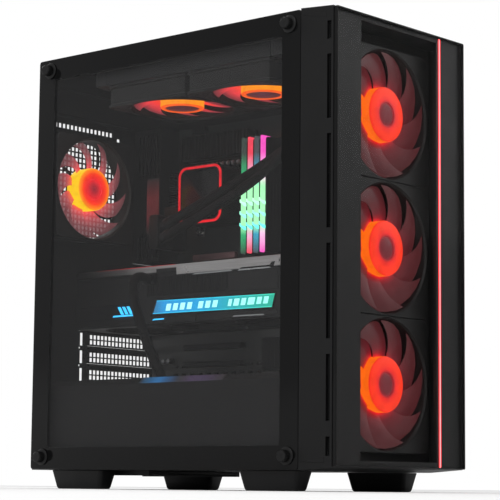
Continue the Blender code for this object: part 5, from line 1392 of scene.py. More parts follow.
# --- interior --------------------------------------------------------------------------------------
@dataclass
class RearPanel:
    """Punched rear sheet, slot covers and the fittings of the rear ports.

    Attributes:
        pitch: pitch of the square air holes in millimetres.
        hole: width of a hole in millimetres.
    """

    pitch: float = 6.0
    hole: float = 4.3

    def build(self) -> None:
        """Build the sheet, its covers and the sockets' metal."""
        grille = hole_grid((10.0, 126.0), (264.0, 380.0), (self.pitch,) * 2, (self.hole,) * 2)
        reach = np.hypot(grille[:, :2].mean(axis=1) - 68.0, grille[:, 2:].mean(axis=1) - 322.0)
        grille = grille[(reach < 60.5)]
        row = hole_grid((26.0, 119.0), (392.0, 398.0), (6.3, 6.0), (self.hole, 5.2))
        slits = np.array([(126.6, 131.4, 378.0, 392.0), (74.6, 77.0, 224.0, 226.6)]
                         + [(73.0, 77.6, 102.6 + k * 20.32, 117.2 + k * 20.32) for k in range(3)]
                         + [(71.2, 73.6, 119.2 + k * 20.32, 121.2 + k * 20.32) for k in range(3)])
        openings = np.array([(34.7, 185.3, -1.0, 87.8), (84.0, 194.0, 102.74, 224.66),
                             (156.7, 190.0, 245.7, 405.3),
                             (207.6, 212.8, 39.4, 44.6), (207.6, 212.8, 419.0, 424.2)])
        low, high = corners("chassis_rear")
        sheet = perforated(low, high, Axis.Y, in_case(Axis.Y, np.concatenate([grille, row, slits, openings])))
        rib = [cased((10, 433.9, z), (150, 434.9, z + 4), Axis.Y, 1.8, 0.4) for z in (405.0, 436.0)]
        piece("rear_sheet", [(joined(sheet, *rib), STEEL)], "chassis", ["chassis_rear"])
        for n in (1, 2, 3):
            low, high = corners(f"slot_cover_{n}")
            z = float(low[2]) / MM - DOWN
            holes = hole_grid((87.6, 189.6), (z + 1.2, z + 13.4), (5.95, 6.1), (4.5, 4.7))
            plate = perforated(low, high, Axis.Y, in_case(Axis.Y, holes))
            tongue = cased((85.0, 434.0, z + 0.6), (193.0, 434.7, z + 1.6), Axis.Z, 0.4, 0.2)
            piece(f"slot_cover_{n}_detail", [(joined(plate, tongue), STEEL)], "chassis",
                  [f"slot_cover_{n}"])
        self.build_ports()

    def build_ports(self) -> None:
        """Cover over the ports with painted red light on its side, the shells and tongues of its sockets, and
        audio jacks.
        """
        dress(PLASTIC, "port_cover")
        shells, tongues, jacks = [], [], []
        for z in (342, 322, 302, 282):
            shells.append(Casework.usb_port(case(170.35, 424.5, z - 6.8), case(176.35, 436.0, z + 6.8),
                                            Axis.Y, 1.0))
            tongues.append(cased((171.8, 425, z - 5.4), (173.4, 434.6, z + 5.4), Axis.Y, 0.3, 0.1))
        shells.append(Casework.usb_port(case(166.85, 424.5, 358), case(179.85, 436.0, 370), Axis.Y, 1.0))
        for z in (256, 266):
            for x in (165, 173.3, 181.6):
                jacks.append(turned([(1.8 * MM, -0.3 * MM), (3.3 * MM, -0.3 * MM), (3.3 * MM, 0.35 * MM),
                                     (2.9 * MM, 0.6 * MM), (1.8 * MM, 0.6 * MM)], case(x, 436, z), (0, 1, 0),
                                    20,
                                    ring=True))
        rim = [cased((158.2, 435.9, z), (188.6, 436.5, z + 0.8), Axis.Y, 0.3, 0.1) for z in (248.4, 351.6,
                                                                                             376.0, 401.6)]
        ribs = [cased((156.4, 394 + 6 * k, 250), (157.2, 397 + 6 * k, 276), Axis.X, 0.8,
                      0.3) for k in range(6)]
        ribs += [cased((156.4, 394 + 6 * k, 350), (157.2, 397 + 6 * k, 398), Axis.X, 0.8,
                       0.3) for k in range(6)]
        # Painted light: a dim red pool on the cover's side, light from the fans falling there, drawn as a
        # glow.
        lit = Glow("port_cover_painted_red_light", ((0.0, (0.012, 0.010, 0.010)), (0.3, (0.085, 0.012, 0.014)),
                                        (0.65, (0.10, 0.014, 0.016)), (1.0, (0.012, 0.010, 0.010))),
                   float(case(0, 0, 280)[2]), float(case(0, 0, 345)[2]), 1.0, along=Axis.Z, speckle=0.15)
        piece("port_cover_fittings",
              [(joined(*shells), NICKEL), (joined(*tongues), SOCKET_BLUE),
               (joined(*jacks, *rim, *ribs), GLOSSY),
               (cased((156.5, 393.5, 280), (157.2, 413, 345), Axis.X, 2.0, 0.3), lit)], "chassis")


@dataclass
class Cooler:
    """Liquid cooler: radiator, pump with its lit ring and swivel block, and the two sleeved hoses."""

    routes: tuple[tuple[Point, ...], ...] = (
        ((124, 349, 282.5), (124, 338, 286.4), (124, 300, 299.8), (124, 255, 315.6), (121.5, 210, 331.5),
         (114.5, 165, 347.3), (107.5, 130.9, 359.3), (104.7, 114.1, 368.3), (102.5, 100.9, 382),
         (100.8, 92.4, 399), (100, 89.5, 417.8), (100, 89.5, 421.8)),
        ((124, 349, 269), (124, 338, 272.9), (124, 300, 286.3), (122.5, 255, 302.1), (115, 210, 318),
         (101, 165, 333.8), (85.5, 130.9, 345.8), (78.3, 114.1, 354.8), (72.4, 100.9, 368.5),
         (68.1, 92.4, 385.5), (66, 89.5, 404.3), (66, 89.5, 421.8)))
    radius: float = 5.5 * MM

    def build(self) -> None:
        """Build the radiator, the pump and the hoses."""
        self.build_radiator()
        self.build_pump()
        for n, route in enumerate(self.routes, start=1):
            hose(f"coolant_hose_{n}", route, self.radius, 3, 0.0040)

    def build_radiator(self) -> None:
        """Two tanks, two side rails, twelve flat tubes, cross fins between them and two ports."""
        parts = [cased((18, 83.7, 425.8), (138, 102.7, 460.8), Axis.Z, 3.0, 1.5),
                 cased((18, 342.7, 425.8), (138, 361.7, 460.8), Axis.Z, 3.0, 1.5),
                 cased((18, 102, 425.8), (26, 343.4, 460.8), Axis.Z, 0.5, 0.4),
                 cased((130, 102, 425.8), (138, 343.4, 460.8), Axis.Z, 0.5, 0.4),
                 cased((25.5, 102.2, 431.5), (130.5, 343.2, 455.5), Axis.Z, 0.3, 0.2)]
        flat = cased((27.2, 102.2, 427.6), (29.2, 343.2, 459.2), Axis.Z, 0.4, 0.3)
        parts.append(copies(flat, [(k * 9.1 * MM, 0, 0) for k in range(12)]))
        fin = slab(case(26, 104.2, 428.6), case(130, 104.5, 458.2), Axis.Y, rim=0.1 * MM, steps=1)
        parts.append(copies(fin, [(0, k * 2.4 * MM, 0) for k in range(99)]))
        collars = []
        for x in (100, 66):
            parts.append(rod(case(x, 89.5, 427.0), (0, 0, -1), self.radius, 4.7 * MM))
            collars.append(turned([(5.2 * MM, 0), (8.2 * MM, 0), (8.2 * MM, 2.2 * MM), (7.4 * MM, 3.0 * MM),
                                   (5.2 * MM, 3.0 * MM)], case(x, 89.5, 426.2), (0, 0, -1), 6, ring=True))
        piece("radiator_detail", [(joined(*parts), BLACK_ALLOY), (joined(*collars), NICKEL)], "chassis",
              ["radiator"])

    def build_pump(self) -> None:
        """Rounded pump cap with a lit square ring, on a base with a bracket, and its swivel block."""
        housing = [cased((141.0, 279, 282), (176, 347, 350), Axis.X, 12.0, 1.4),
                   cased((176.5, 281, 284), (189.7, 345, 348), Axis.X, 10.0, 0.6),
                   cased((141.5, 333, 290), (165.0, 370, 306), Axis.X, 2.5, 1.0),
                   cased((141.6, 355, 254), (164.8, 369.8, 302), Axis.X, 4.0, 1.2),
                   cased((116, 355.2, 254.2), (150, 369.6, 294), Axis.X, 4.0, 1.2)]
        for route in self.routes:
            start, end = case(*route[0]), case(*route[1])
            run = (end - start) / np.linalg.norm(end - start)
            steps = np.array([-14, -9, -8.5, -7, -6.5, -4, -3.5, -0.3])[:, None] * MM
            size = np.array([5.5, 5.5, 6.4, 6.4, 5.5, 5.5, 6.2, 5.2]) * MM
            housing.append(tube(start + run * steps, size, (1, 0, 0), 20))
        bracket = [cased((183.0, y, z), (187.0, y + 10, z + 10), Axis.X, 3.0, 0.6)
                   for y in (272.0, 344.0) for z in (275.0, 347.0)]
        screws = [rod(case(183.2, y + 5, z + 5), (-1, 0, 0), 3.2 * MM, 5.5 * MM)
                  for y in (272.0, 344.0) for z in (275.0, 347.0)]
        outer = rounded_outline(66.4 * MM, 66.4 * MM, 11.6 * MM, 8)
        inner = rounded_outline(60.8 * MM, 60.8 * MM, 9.0 * MM, 8)
        middle = case(0, 313, 316)[1:]
        rows = [(inner, 142.5), (outer, 142.5), (outer, 140.5), (outer * 0.994, 140.05),
                (inner * 1.006, 140.05),
                (inner, 140.5)]
        rings = np.stack([on_axis(r + middle, np.full(len(r), float(case(x, 0, 0)[0])), Axis.X) for r,
                          x in rows])
        ring = loft(rings, loop_rows=True)
        light = Glow("pump_ring_light", ((0.0, (0.80, 0.010, 0.020)), (1.0, (0.72, 0.008, 0.018))),
                     float(case(0, 281, 0)[1]), float(case(0, 345, 0)[1]), 1.0, along=Axis.Y, speckle=0.18)
        face = cased((140.4, 284.0, 287.0), (142.0, 342.0, 345.0), Axis.X, 7.5, 0.5)
        piece("pump_detail", [(joined(*housing), PLASTIC), (ring, light), (face, GLOSSY),
                              (joined(*bracket, *screws), NICKEL)], "chassis",
              ["pump_block"])


def hose(name: str, route: Sequence[Point], radius: float, per_span: int, shade: float,
         strands: int = 16) -> None:
    """A sleeved hose along a route in case millimetres, with a tapered ferrule at each end.

    Args:
        name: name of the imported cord.
        route: points of its line.
        radius: radius of the hose.
        per_span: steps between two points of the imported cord's line.
        shade: grey of the sleeve.
        strands: strands round the sleeve.
    """
    coarse = smooth_path([tuple(case(*point)) for point in route], per_span * 4)
    sleeve = tube(coarse, radius, (1, 0, 0) if per_span == 3 else (0.25, 0.1, 1.0), 24)
    looks = Sleeve(f"{name}_sleeve", (shade, shade, shade), strands)
    made = piece(name + "_sleeved", [(sleeve, looks)], "chassis", [name])
    ends = []
    for line in (coarse, coarse[::-1]):
        run = np.r_[0.0, np.cumsum(np.linalg.norm(np.diff(line, axis=0), axis=1))]
        at = np.array([0.2, 1.0, 8.0, 10.5]) * MM if per_span == 3 else np.array([0.2, 0.6, 4.0, 6.0]) * MM
        spots = np.stack([np.interp(at, run, line[:, k]) for k in range(3)], 1)
        ends.append(tube(spots, radius + np.array([0.6, 1.1, 0.9, 0.25]) * MM,
                         (1, 0, 0) if per_span == 3 else (0.25, 0.1, 1.0), 24))
    ferrules = piece(name + "_ferrules", [(joined(*ends), DARK_PLASTIC)], "chassis")


@dataclass
class Board:
    """Main board with its heatsinks, sockets and small parts, and the four lit memory sticks."""

    def build(self) -> None:
        """Build the board and the sticks."""
        self.build_board()
        self.build_memory()

    def build_board(self) -> None:
        """Lacquered board on standoffs, finned heatsinks, slots, connectors and capacitors."""
        plate = slab(case(190, 188.5, 101.5), case(191.6, 432.5, 406.5), Axis.X, 1.0 * MM, 0.2 * MM)
        posts = [rod(case(191.2, 423.5 - 215 * c, 109.5 + 142 * r), (1, 0, 0), 2.8 * MM, 6.8 * MM)
                 for r in range(3) for c in range(2)]
        sinks = [cased((182.5, 366.5, 300.5), (190.2, 387.5, 353.5), Axis.X, 1.0, 0.5),
                 cased((182.5, 264.5, 363.5), (190.2, 372.5, 392.5), Axis.X, 1.0, 0.5)]
        fin = cased((168.0, 367.0, 301.5), (183.0, 387.0, 303.4), Axis.X, 0.4, 0.3)
        sinks.append(copies(fin, [(0, 0, k * 3.9 * MM) for k in range(13)]))
        fin = cased((167.8, 265.5, 364.0), (183.0, 267.6, 392.0), Axis.X, 0.4, 0.3)
        sinks.append(copies(fin, [(0, k * 5.0 * MM, 0) for k in range(21)]))
        drive = [cased((184.0, 272.5, 231.5), (190.2, 386.5, 243.5), Axis.X, 1.2, 0.5),
                 cased((185.0, 298.0, 246.0), (190.2, 364.0, 253.5), Axis.X, 1.2, 0.5)]
        chip = [cased((181.0, 200.5, 113.5), (190.2, 252.5, 151.5), Axis.X, 3.0, 0.8)]
        chip += [cased((180.6, 204 + 7 * k, 118), (181.3, 207 + 7 * k, 147), Axis.X, 1.2,
                       0.3) for k in range(6)]
        slots = [cased((180.0, 283, z - 3.4), (190.1, 372, z + 3.4), Axis.X, 0.8,
                       0.4) for z in (124.0, 144.3)]
        latches = [cased((184.0, 436 - 183 - 9.5 * k - 3.9, z), (190.1, 436 - 183 - 9.5 * k + 3.9, z + 3.6),
                         Axis.X,
                         0.8, 0.4) for k in range(4) for z in (238.8, 376.4)]
        power = [cased((179.0, 194, 290), (190.1, 203, 342), Axis.X, 0.6, 0.3),
                 cased((181.0, 345, 396), (190.1, 364, 405), Axis.X, 0.6, 0.3),
                 cased((183.0, 191, 150), (190.1, 197, 178), Axis.X, 0.6, 0.3)]
        can = turned([(3.0 * MM, -0.2 * MM), (3.1 * MM, 0.4 * MM), (3.1 * MM, 7.0 * MM), (2.6 * MM, 7.6 * MM),
                      (2.2 * MM, 7.45 * MM)], (0, 0, 0), (-1, 0, 0), 14)
        spots = [case(190, 267 + 8.2 * k, 357.5) for k in range(12)] + [case(190, 391,
                                                                             304 + 8.0 * k) for k in range(6)]
        spots += [case(190, 214, 200 + 9.0 * k) for k in range(4)] + [case(190, 400 + 8 * k,
                                                                           130) for k in range(3)]
        small = slab((-1.6 * MM, -2.6 * MM, -1.2 * MM), (0.2 * MM, 2.6 * MM, 1.2 * MM), Axis.X, 0.2 * MM,
                     0.15 * MM, 2)
        grid = [case(190, 262 + 13 * i, 104.5 + 9.0 * j) for i in range(11) for j in range(3)]
        tiny = [case(190, 205 + 2.0 * (j % 2), 206 + 5.2 * j) for j in range(14)]
        parts = [(plate, BoardLacquer()), (joined(*posts), NICKEL), (joined(*sinks, *chip), BLACK_ALLOY),
                 (joined(*drive), DRIVE_SINK), (joined(*slots, *latches, *power), DARK_PLASTIC),
                 (copies(can, np.array(spots)), CAPACITOR), (copies(small, np.array(grid + tiny)), GLOSSY)]
        piece("board_detail", parts, "chassis", ["motherboard"])

    def build_memory(self) -> None:
        """Sticks with a dark spreader, a lit bar on the outer edge and three lit notches half way up.

        Each bar's colour runs from its end colour through its own tint to the bright middle and back.
        """
        bright = (0.40, 1.0, 0.50)
        tints = (((0.030, 0.050, 0.042), (0.02, 0.42, 0.16)), ((0.80, 0.05, 0.09), (0.85, 0.42, 0.62)),
                 ((0.055, 0.060, 0.068), (0.03, 0.33, 0.48)), ((0.90, 0.08, 0.52), (0.95, 0.55, 0.82)))
        for n, (end, tint) in enumerate(tints, start=1):
            low, high = corners(f"memory_stick_{n}")
            y = float(low[1] + high[1]) / 2 / MM + 223.75
            stops = ((0.0, end), (0.16, tint), (0.25, bright), (0.42, bright), (0.56, bright), (0.66, tint),
                     (0.86, end), (1.0, end))
            look = Glow(f"memory_light_{n}", stops, float(low[2]), float(high[2]), 1.25, along=Axis.Z,
                        speckle=0.10)
            spark = Glow(f"memory_notch_{n}", ((0.0, (0.10, 0.95, 0.75)), (1.0, (0.55, 1.0, 0.62))),
                         float(case(0, 0, 268)[2]), float(case(0, 0, 310)[2]), 1.6, along=Axis.Z,
                         speckle=0.08)
            lit = [cased((146.2, y - 1.7, 243.4), (152.0, y + 1.7, 375.8), Axis.X, 1.2, 0.6),
                   cased((146.2, y - 1.7, 372.2), (160.0, y + 1.7, 375.8), Axis.X, 1.0, 0.5)]
            spreader = [cased((152.0, y - 3.3, 244.5), (184.0, y - 1.0, 374.6), Axis.Y, 3.0, 0.4),
                        cased((152.0, y + 1.0, 244.5), (184.0, y + 3.3, 374.6), Axis.Y, 3.0, 0.4)]
            spreader += [cased((156.0 + 5 * k, y - 3.5, 252 + 10 * k), (158.5 + 5 * k, y - 3.2, 330 + 8 * k),
                               Axis.Y,
                               1.0, 0.1) for k in range(5)]
            board = cased((152.5, y - 0.6, 243.0), (189.7, y + 0.6, 376.0), Axis.Y, 0.5, 0.1)
            pins = [cased((186.0, y - 0.75, 247.0), (189.5, y + 0.75, 372.0), Axis.Y, 0.2, 0.1)]
            shape = np.array([(-3.5, 0.0), (3.5, 5.0), (3.5, 8.6), (-3.5, 3.6)])
            notches = [prism((shape + (y, z)) * MM + case(0, 0, 0)[1:], float(case(146.05, 0, 0)[0]),
                             float(case(150.5, 0, 0)[0]), Axis.X, 0.3 * MM) for z in (270.0, 283.5, 297.0)]
            piece(f"memory_stick_{n}_detail",
                  [(joined(*lit), look), (joined(*notches), spark), (joined(*spreader), BLACK_ALLOY),
                   (board, BoardLacquer()), (joined(*pins), CONTACTS)], "chassis",
                  [f"memory_stick_{n}"])


@dataclass
class GraphicsCard:
    """Graphics card: shroud details on its outer side, nameplate light, backplate and power cable."""

    def build(self) -> None:
        """Build the side details, the backplate, the bracket and the cable."""
        dress(DARK_PLASTIC, "graphics_card")
        self.build_side()
        self.build_backplate()
        route = ((63.6, 316, 211), (60, 316, 211), (52, 315.6, 212.4), (41, 314, 210.2), (32.2, 311, 202),
                 (29.1, 307, 190), (29, 297, 165), (29.5, 286, 140), (30, 273, 116), (31, 262, 97),
                 (33.5, 255, 80),
                 (37, 257.5, 66), (42, 266, 58), (45.4, 276, 55.6), (46, 282, 55.5), (46, 285.5, 55.5))
        hose("graphics_cable", route, 5.5 * MM, 2, 0.0022, 22)

    @staticmethod
    def panel(points: Sequence[tuple[float, float]], near: float, far: float, rim: float = 0.4) -> Shape:
        """A flat panel on the card's outer side from its y, z corners in case millimetres, anticlockwise."""
        outline = np.array(points, float) * MM + case(0, 0, 0)[1:]
        return prism(outline, float(case(near, 0, 0)[0]), float(case(far, 0, 0)[0]), Axis.X, rim * MM)

    def build_side(self) -> None:
        """Slanted dark panels, a row of cooling fins, the lit nameplate, lit stripes and a bright slit."""
        panels = [self.panel([(128, 163), (240, 160.6), (236, 168.6), (130, 168.4)], 62.9, 64.3),
                  self.panel([(246, 160.6), (430, 161.5), (428, 169.5), (243, 169.5)], 63.0, 64.3),
                  self.panel([(128, 189.5), (200, 191), (190, 211), (128, 211)], 62.9, 64.3),
                  self.panel([(338, 186), (428, 184), (428, 214), (324, 214)], 63.1, 64.3)]
        frame = self.panel([(134.5, 168.9), (311, 170.3), (304.5, 188.4), (130, 186.2)], 63.0, 64.3)
        fin = cased((63.1, 199, 192), (64.2, 199.9, 213), Axis.X, 0.3, 0.1)
        fins = copies(fin, [(0, k * 2.6 * MM, 0) for k in range(47)])
        start, end = float(case(0, 134, 0)[1]), float(case(0, 307, 0)[1])
        plate = Glow("nameplate_light", ((0.0, (0.015, 0.52, 0.36)), (0.30, (0.01, 0.50, 0.52)),
                                         (0.62, (0.01, 0.42, 0.85)), (0.92, (0.015, 0.36, 0.80)),
                                         (1.0, (0.03, 0.20, 0.42))), start, end, 1.0, along=Axis.Y,
                     speckle=0.06)
        bright = Glow("nameplate_bars_light", ((0.0, (0.30, 1.0, 0.80)), (1.0, (0.42, 0.90, 1.0))), start,
                      end, 1.5,
                      along=Axis.Y, speckle=0.06)
        rim = Glow("nameplate_rim_light", ((0.0, (0.05, 0.75, 0.50)), (0.5, (0.02, 0.62, 0.85)),
                                           (1.0, (0.03, 0.50, 0.90))), start, end, 1.25, along=Axis.Y,
                   speckle=0.06)
        name = self.panel([(136, 170.6), (309, 172.1), (303, 186.6), (132, 184.5)], 62.6, 64.2)
        edge = [self.panel([(136, 170.6), (309, 172.1), (308.6, 173.0), (135.8, 171.5)], 62.45, 63.2, 0.2),
                self.panel([(132.2, 183.6), (303.4, 185.7), (303, 186.6), (132, 184.5)], 62.45, 63.2, 0.2)]
        bars = [self.panel([(y, 174.6), (y + w, 174.7), (y + w - 2.0, 182.2), (y - 2.0, 182.1)], 62.4, 63.0,
                           0.2)
                for y, w in ((141.5, 6.5), (151, 6.5), (160.5, 9.5), (173, 6.5), (182.5, 7.5), (193, 5.0),
                             (213.5, 7.0), (224, 7.0), (234.5, 7.0), (251, 7.0), (261.5, 7.0), (272, 7.0),
                             (282.5, 7.0))]
        stripes = [self.panel([(y, 174.0), (y + 3.6, 174.0), (y + 9.4, 182.6), (y + 5.8, 182.6)], 62.5, 64.2,
                              0.2)
                   for y in (334, 341, 348, 355)]
        stripes.append(self.panel([(330, 171.6), (372, 171.6), (370, 173.2), (330, 173.2)], 62.5, 64.2, 0.2))
        stripes.append(self.panel([(292, 165.4), (310, 165.0), (307, 166.6), (292, 166.6)], 62.5, 64.2, 0.15))
        blue = Glow("stripe_light", ((0.0, (0.02, 0.60, 0.85)), (1.0, (0.04, 0.50, 1.0))), start, end, 1.7,
                    along=Axis.Y, speckle=0.1)
        slit = self.panel([(146, 162.6), (191, 162.9), (189, 164.3), (148, 164.0)], 62.6, 64.2, 0.2)
        plug = [cased((60.4, 304, 205), (64.5, 324, 217), Axis.X, 0.8, 0.4)]
        plug += [cased((59.6, 305.5 + 4.3 * k, 206.5), (60.9, 308.7 + 4.3 * k, 215.5), Axis.X, 0.5, 0.2)
                 for k in range(4)]
        sockets = [Casework.usb_port(case(110 + 28 * k, 424.5, 208.4), case(126 + 28 * k, 436.0, 214.4),
                                     Axis.Y, 1.0)
                   for k in range(3)]
        vents = copies(cased((88, 435.9, 168), (188, 436.35, 170), Axis.Y, 0.8, 0.2),
                       [(0, 0, 5.2 * k * MM) for k in range(7)])
        piece("card_side_detail",
              [(joined(*panels), PLASTIC), (joined(frame, *plug), GLOSSY), (fins, BLACK_ALLOY), (name, plate),
               (joined(*bars), bright), (joined(*edge), rim), (joined(*stripes), blue), (slit, SATIN),
               (joined(*sockets), NICKEL), (vents, STEEL)], "chassis")

    def build_backplate(self) -> None:
        """Brushed plate folded down over the card's outer side, with its dark notch and slots; its colour
        fades from a painted highlight to painted shade, and a line of painted red reflection runs along its
        top edge.
        """
        # The backplate's colour fades from a painted highlight near the front to painted shade at the rear.
        metal = Brushed("backplate_metal_painted_highlight", (0.42, 0.41, 0.41), (0.035, 0.032, 0.033), Axis.Y,
                        float(case(0, 275, 0)[1]), float(case(0, 425, 0)[1]))
        top = cased((62.6, 123.5, 223.6), (178, 431.5, 225.2), Axis.Z, 2.0, 0.3)
        front = self.panel([(123.6, 213.7), (273.4, 213.7), (273.4, 225.2), (123.6, 225.2)], 62.0, 63.7, 0.3)
        rear = self.panel([(273.0, 217.9), (431.4, 217.9), (431.4, 225.1), (273.0, 225.1)], 62.3, 63.7, 0.3)
        under = [self.panel([(133, 213.4), (181, 213.4), (178, 215.2), (139, 215.2), (135.5, 218.4),
                             (131, 218.4)],
                            61.9, 62.6, 0.15),
                 self.panel([(124.2, 219), (126.0, 216), (126.0, 222.6)], 61.9, 62.6, 0.15)]
        under.append(self.panel([(273.8, 217.6), (304, 217.6), (304, 221.8), (273.8, 221.8)], 62.15, 62.6,
                                0.1))
        steps = [self.panel([(137, 211.8), (184, 211.8), (182, 213.6), (140, 213.6)], 62.3, 63.6, 0.2),
                 self.panel([(192, 212.2), (250, 212.0), (247, 213.4), (194, 213.6)], 62.6, 63.6, 0.2)]
        slots = copies(cased((90, 140, 224.9), (150, 142.2, 225.25), Axis.Z, 1.0, 0.1),
                       [(0, 9.0 * k * MM, 0) for k in range(9)])
        # Painted reflection: red light from the fans, drawn as a glowing line along the backplate's top edge.
        red = Glow("backplate_edge_painted_reflection", ((0.0, (0.55, 0.02, 0.03)), (0.55, (0.70, 0.02, 0.03)),
                                            (1.0, (0.05, 0.01, 0.01))), float(case(0, 276, 0)[1]),
                   float(case(0, 400, 0)[1]), 1.0, along=Axis.Y, speckle=0.1)
        line = cased((62.2, 276, 224.85), (63.0, 400, 225.25), Axis.Z, 0.1, 0.1)
        piece("backplate_detail",
              [(joined(top, front, rear), metal), (joined(*under, slots), DARK_PLASTIC),
               (joined(*steps), SATIN),
               (line, red)], "chassis", ["graphics_backplate"])


@dataclass
class PowerSupply:
    """Power supply's punched rear, inlet, switch and fan guard, and a painted reflection of blue and purple
    light on the shroud's edge.
    """

    def build(self) -> None:
        """Finish the box and build its fittings."""
        dress(STEEL, "power_supply")
        holes = hole_grid((97.0, 183.0), (3.5, 85.5), (5.2, 5.2), (3.7, 3.7))
        near, far = case(96, 436.0, 2.4), case(184, 436.55, 86.6)
        grille = perforated(near, far, Axis.Y, in_case(Axis.Y, holes))
        trim = [cased((46.5, 435.8, 49.5), (77.5, 436.6, 51.2), Axis.Y, 0.5, 0.2),
                cased((46.5, 435.8, 68.8), (77.5, 436.6, 70.5), Axis.Y, 0.5, 0.2)]
        pins = [cased((x, 423.5, z), (x + 1.6, 433.0, z + 4.4), Axis.Y, 0.3, 0.2)
                for x, z in ((54.4, 55.6), (68.0, 55.6), (61.2, 60.6))]
        wires = [turned([(r * MM - 0.8 * MM, 0.35 * MM), (r * MM, -0.4 * MM), (r * MM + 0.8 * MM, 0.35 * MM),
                         (r * MM, 1.1 * MM)], case(110, 350, 1.0), (0, 0, 1), 48, ring=True)
                 for r in (14, 22, 30, 38, 46, 54)]
        spokes = [slab((-57.5 * MM, -0.8 * MM, 1.0 * MM), (57.5 * MM, 0.8 * MM, 2.2 * MM), Axis.Z, 0.4 * MM,
                       0.3 * MM,
                       2).mapped(np.array(Matrix.Rotation(a, 3, "Z"))).moved(case(110, 350, 0.4))
                  for a in np.radians([45.0, 135.0])]
        piece("supply_fittings", [(joined(grille, *trim), GRILLE), (joined(*pins, *wires, *spokes), NICKEL)],
              "chassis")
        low, high = corners("power_supply_switch")
        rocker = slab(low, high - np.array([0, 0.2 * MM, 0]), Axis.X, 2.0 * MM, 0.5 * MM)
        centre = (low + high) / 2
        mark = slab((centre[0] - 0.5 * MM, high[1] - 0.6 * MM, centre[2] + 3.0 * MM),
                    (centre[0] + 0.5 * MM, high[1], centre[2] + 6.0 * MM), Axis.Y, 0.2 * MM, 0.1 * MM)
        piece("supply_rocker", [(rocker, GLOSSY), (mark, SATIN)], "supply_switch",
              ["power_supply_switch"])
        # A thin strip along the shroud's edge whose glow is a painted reflection of the blue and purple light
        # inside the case; the edge is no lamp.
        edge = np.array([(7.75, 91.9), (14.0, 98.15), (20.0, 98.15), (20.0, 98.4), (13.9, 98.4), (7.6, 92.1)])
        outline = edge * MM + case(0, 0, 0)[[0, 2]]
        dark = (0.004, 0.004, 0.006)
        look = Glow("shroud_edge_painted_reflection",
                    ((0.0, dark), (0.22, (0.030, 0.018, 0.055)), (0.38, (0.035, 0.018, 0.062)),
                                          (0.52, dark), (0.60, (0.005, 0.03, 0.08)),
                     (0.76, (0.008, 0.13, 0.34)),
                                          (0.93, (0.004, 0.07, 0.16)), (1.0, dark)),
                    float(case(0, 155, 0)[1]), float(case(0, 275, 0)[1]), 1.0, along=Axis.Y, speckle=0.15)
        piece("shroud_edge_sheen",
              [(prism(outline[::-1], float(case(0, 155, 0)[1]), float(case(0, 275, 0)[1]), Axis.Y,
                                           0.02 * MM), look)], "chassis")


DRIVE_SINK = Coating("drive_heatsink_alloy", (0.30, 0.16, 0.165), 0.38, 1000.0, 0.03 * MM, 0.6)
SATIN = Coating("satin_silver_trim", (0.42, 0.43, 0.44), 0.3, 1100.0, 0.02 * MM, 0.8, 0.1)
ASSEMBLIES = (Glazing(), Casework(), RearPanel(), Cooler(), Board(), GraphicsCard(), PowerSupply())


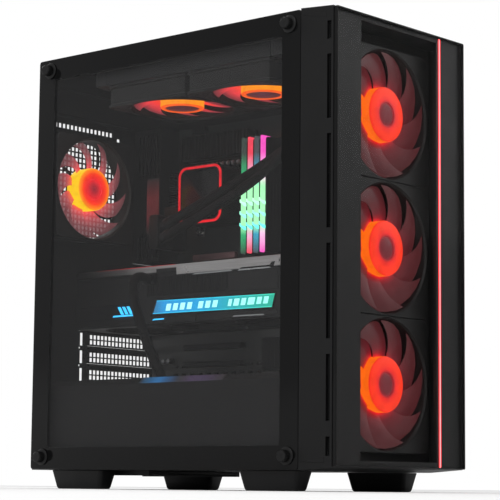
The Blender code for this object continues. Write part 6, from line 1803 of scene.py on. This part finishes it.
# --- studio ----------------------------------------------------------------------------------------
@dataclass
class Studio:
    """Camera, pale floor, white surroundings and soft lights.

    Attributes:
        place: camera position in metres.
        yaw: turn of the view from +Y towards +X, in radians.
        pitch: upward tilt of the view, in radians.
        roll: turn about the line of sight, in radians.
        lens: focal length in millimetres on a 36 mm sensor.
    """

    place: Point = (-1.5526, -1.38235, 0.0035)
    yaw: float = 0.8505
    pitch: float = 0.12369
    roll: float = 0.00985
    lens: float = 137.41

    def build(self) -> None:
        """Set up the whole studio."""
        self.build_camera()
        self.build_floor()
        self.build_world()
        self.build_lights()
        bpy.context.scene.view_settings.view_transform = "Standard"

    def build_camera(self) -> None:
        """Aim the camera: its axes are worked out from yaw, pitch and roll."""
        data = bpy.data.cameras.new("camera")
        data.lens, data.sensor_width = self.lens, 36.0
        data.clip_start, data.clip_end = 0.05, 60.0
        camera = bpy.data.objects.new("camera", data)
        ahead = np.array([math.sin(self.yaw) * math.cos(self.pitch),
                          math.cos(self.yaw) * math.cos(self.pitch),
                          math.sin(self.pitch)])
        right = np.array([math.cos(self.yaw), -math.sin(self.yaw), 0.0])
        up = np.cross(right, ahead)
        c, s = math.cos(self.roll), math.sin(self.roll)
        axes = np.stack([c * right + s * up, c * up - s * right, -ahead], 1)
        camera.location = self.place
        camera.rotation_euler = Matrix(axes.tolist()).to_euler()
        bpy.context.scene.collection.objects.link(camera)
        bpy.context.scene.camera = camera

    def build_floor(self) -> None:
        """A wide round floor, pale with a faint unevenness."""
        disc = turned([(5.999, -0.02), (6.0, -0.019), (6.0, -0.001), (5.999, 0.0)], (0, 0, 0), (0, 0, 1), 96)
        mesh = bpy.data.meshes.new("floor")
        mesh.from_pydata(disc.points.tolist(), [], [row for block in disc.faces for row in block.tolist()])
        tree = Tree("pale_floor")
        cloud = tree.noise(tree.place(), 3.0, 3.0)
        look = tree.finish(Base_Color=tree.ramp(cloud, [(0.0, (0.90, 0.90, 0.90)),
                                                        (1.0, (0.94, 0.94, 0.94))]),
                           Roughness=0.85)
        mesh.materials.append(look)
        floor = bpy.data.objects.new("floor", mesh)
        bpy.context.scene.collection.objects.link(floor)

    def build_world(self) -> None:
        """White surroundings: brighter behind the object than the light that they give."""
        world = bpy.data.worlds.new("white_studio")
        world.use_nodes = True
        nodes, links = world.node_tree.nodes, world.node_tree.links
        nodes.clear()
        seen, light = nodes.new("ShaderNodeBackground"), nodes.new("ShaderNodeBackground")
        seen.inputs["Color"].default_value = (1.0, 1.0, 1.0, 1.0)
        seen.inputs["Strength"].default_value = 1.0
        light.inputs["Color"].default_value = (1.0, 1.0, 1.0, 1.0)
        light.inputs["Strength"].default_value = 0.62
        path, mix = nodes.new("ShaderNodeLightPath"), nodes.new("ShaderNodeMixShader")
        out = nodes.new("ShaderNodeOutputWorld")
        links.new(path.outputs["Is Camera Ray"], mix.inputs[0])
        links.new(light.outputs[0], mix.inputs[1])
        links.new(seen.outputs[0], mix.inputs[2])
        links.new(mix.outputs[0], out.inputs[0])
        bpy.context.scene.world = world

    def build_lights(self) -> None:
        """One broad soft light above each side and a weaker one in front."""
        for name, place, aim, size, power in (
                ("key_light", (-2.2, -1.0, 2.2), (0, 0, 0.25), 1.8, 32.0),
                ("fill_light", (2.2, -1.6, 1.5), (0, 0, 0.25), 1.6, 12.0),
                ("back_light", (0.6, 2.4, 2.0), (0, 0, 0.25), 1.6, 26.0)):
            data = bpy.data.lights.new(name, "AREA")
            data.size, data.energy = size, power
            lamp = bpy.data.objects.new(name, data)
            lamp.location = place
            away = Matrix.Translation(place).to_translation() - Matrix.Translation(aim).to_translation()
            lamp.rotation_euler = away.to_track_quat("Z", "Y").to_euler()
            bpy.context.scene.collection.objects.link(lamp)


def main() -> None:
    """Build the studio and every sub-assembly, in order."""
    logging.basicConfig(level=logging.INFO, format="%(name)s %(message)s")
    Studio().build()
    for part in ASSEMBLIES:
        part.build()
    for fan in all_fans():
        fan.build()


if __name__ == "__main__":
    main()
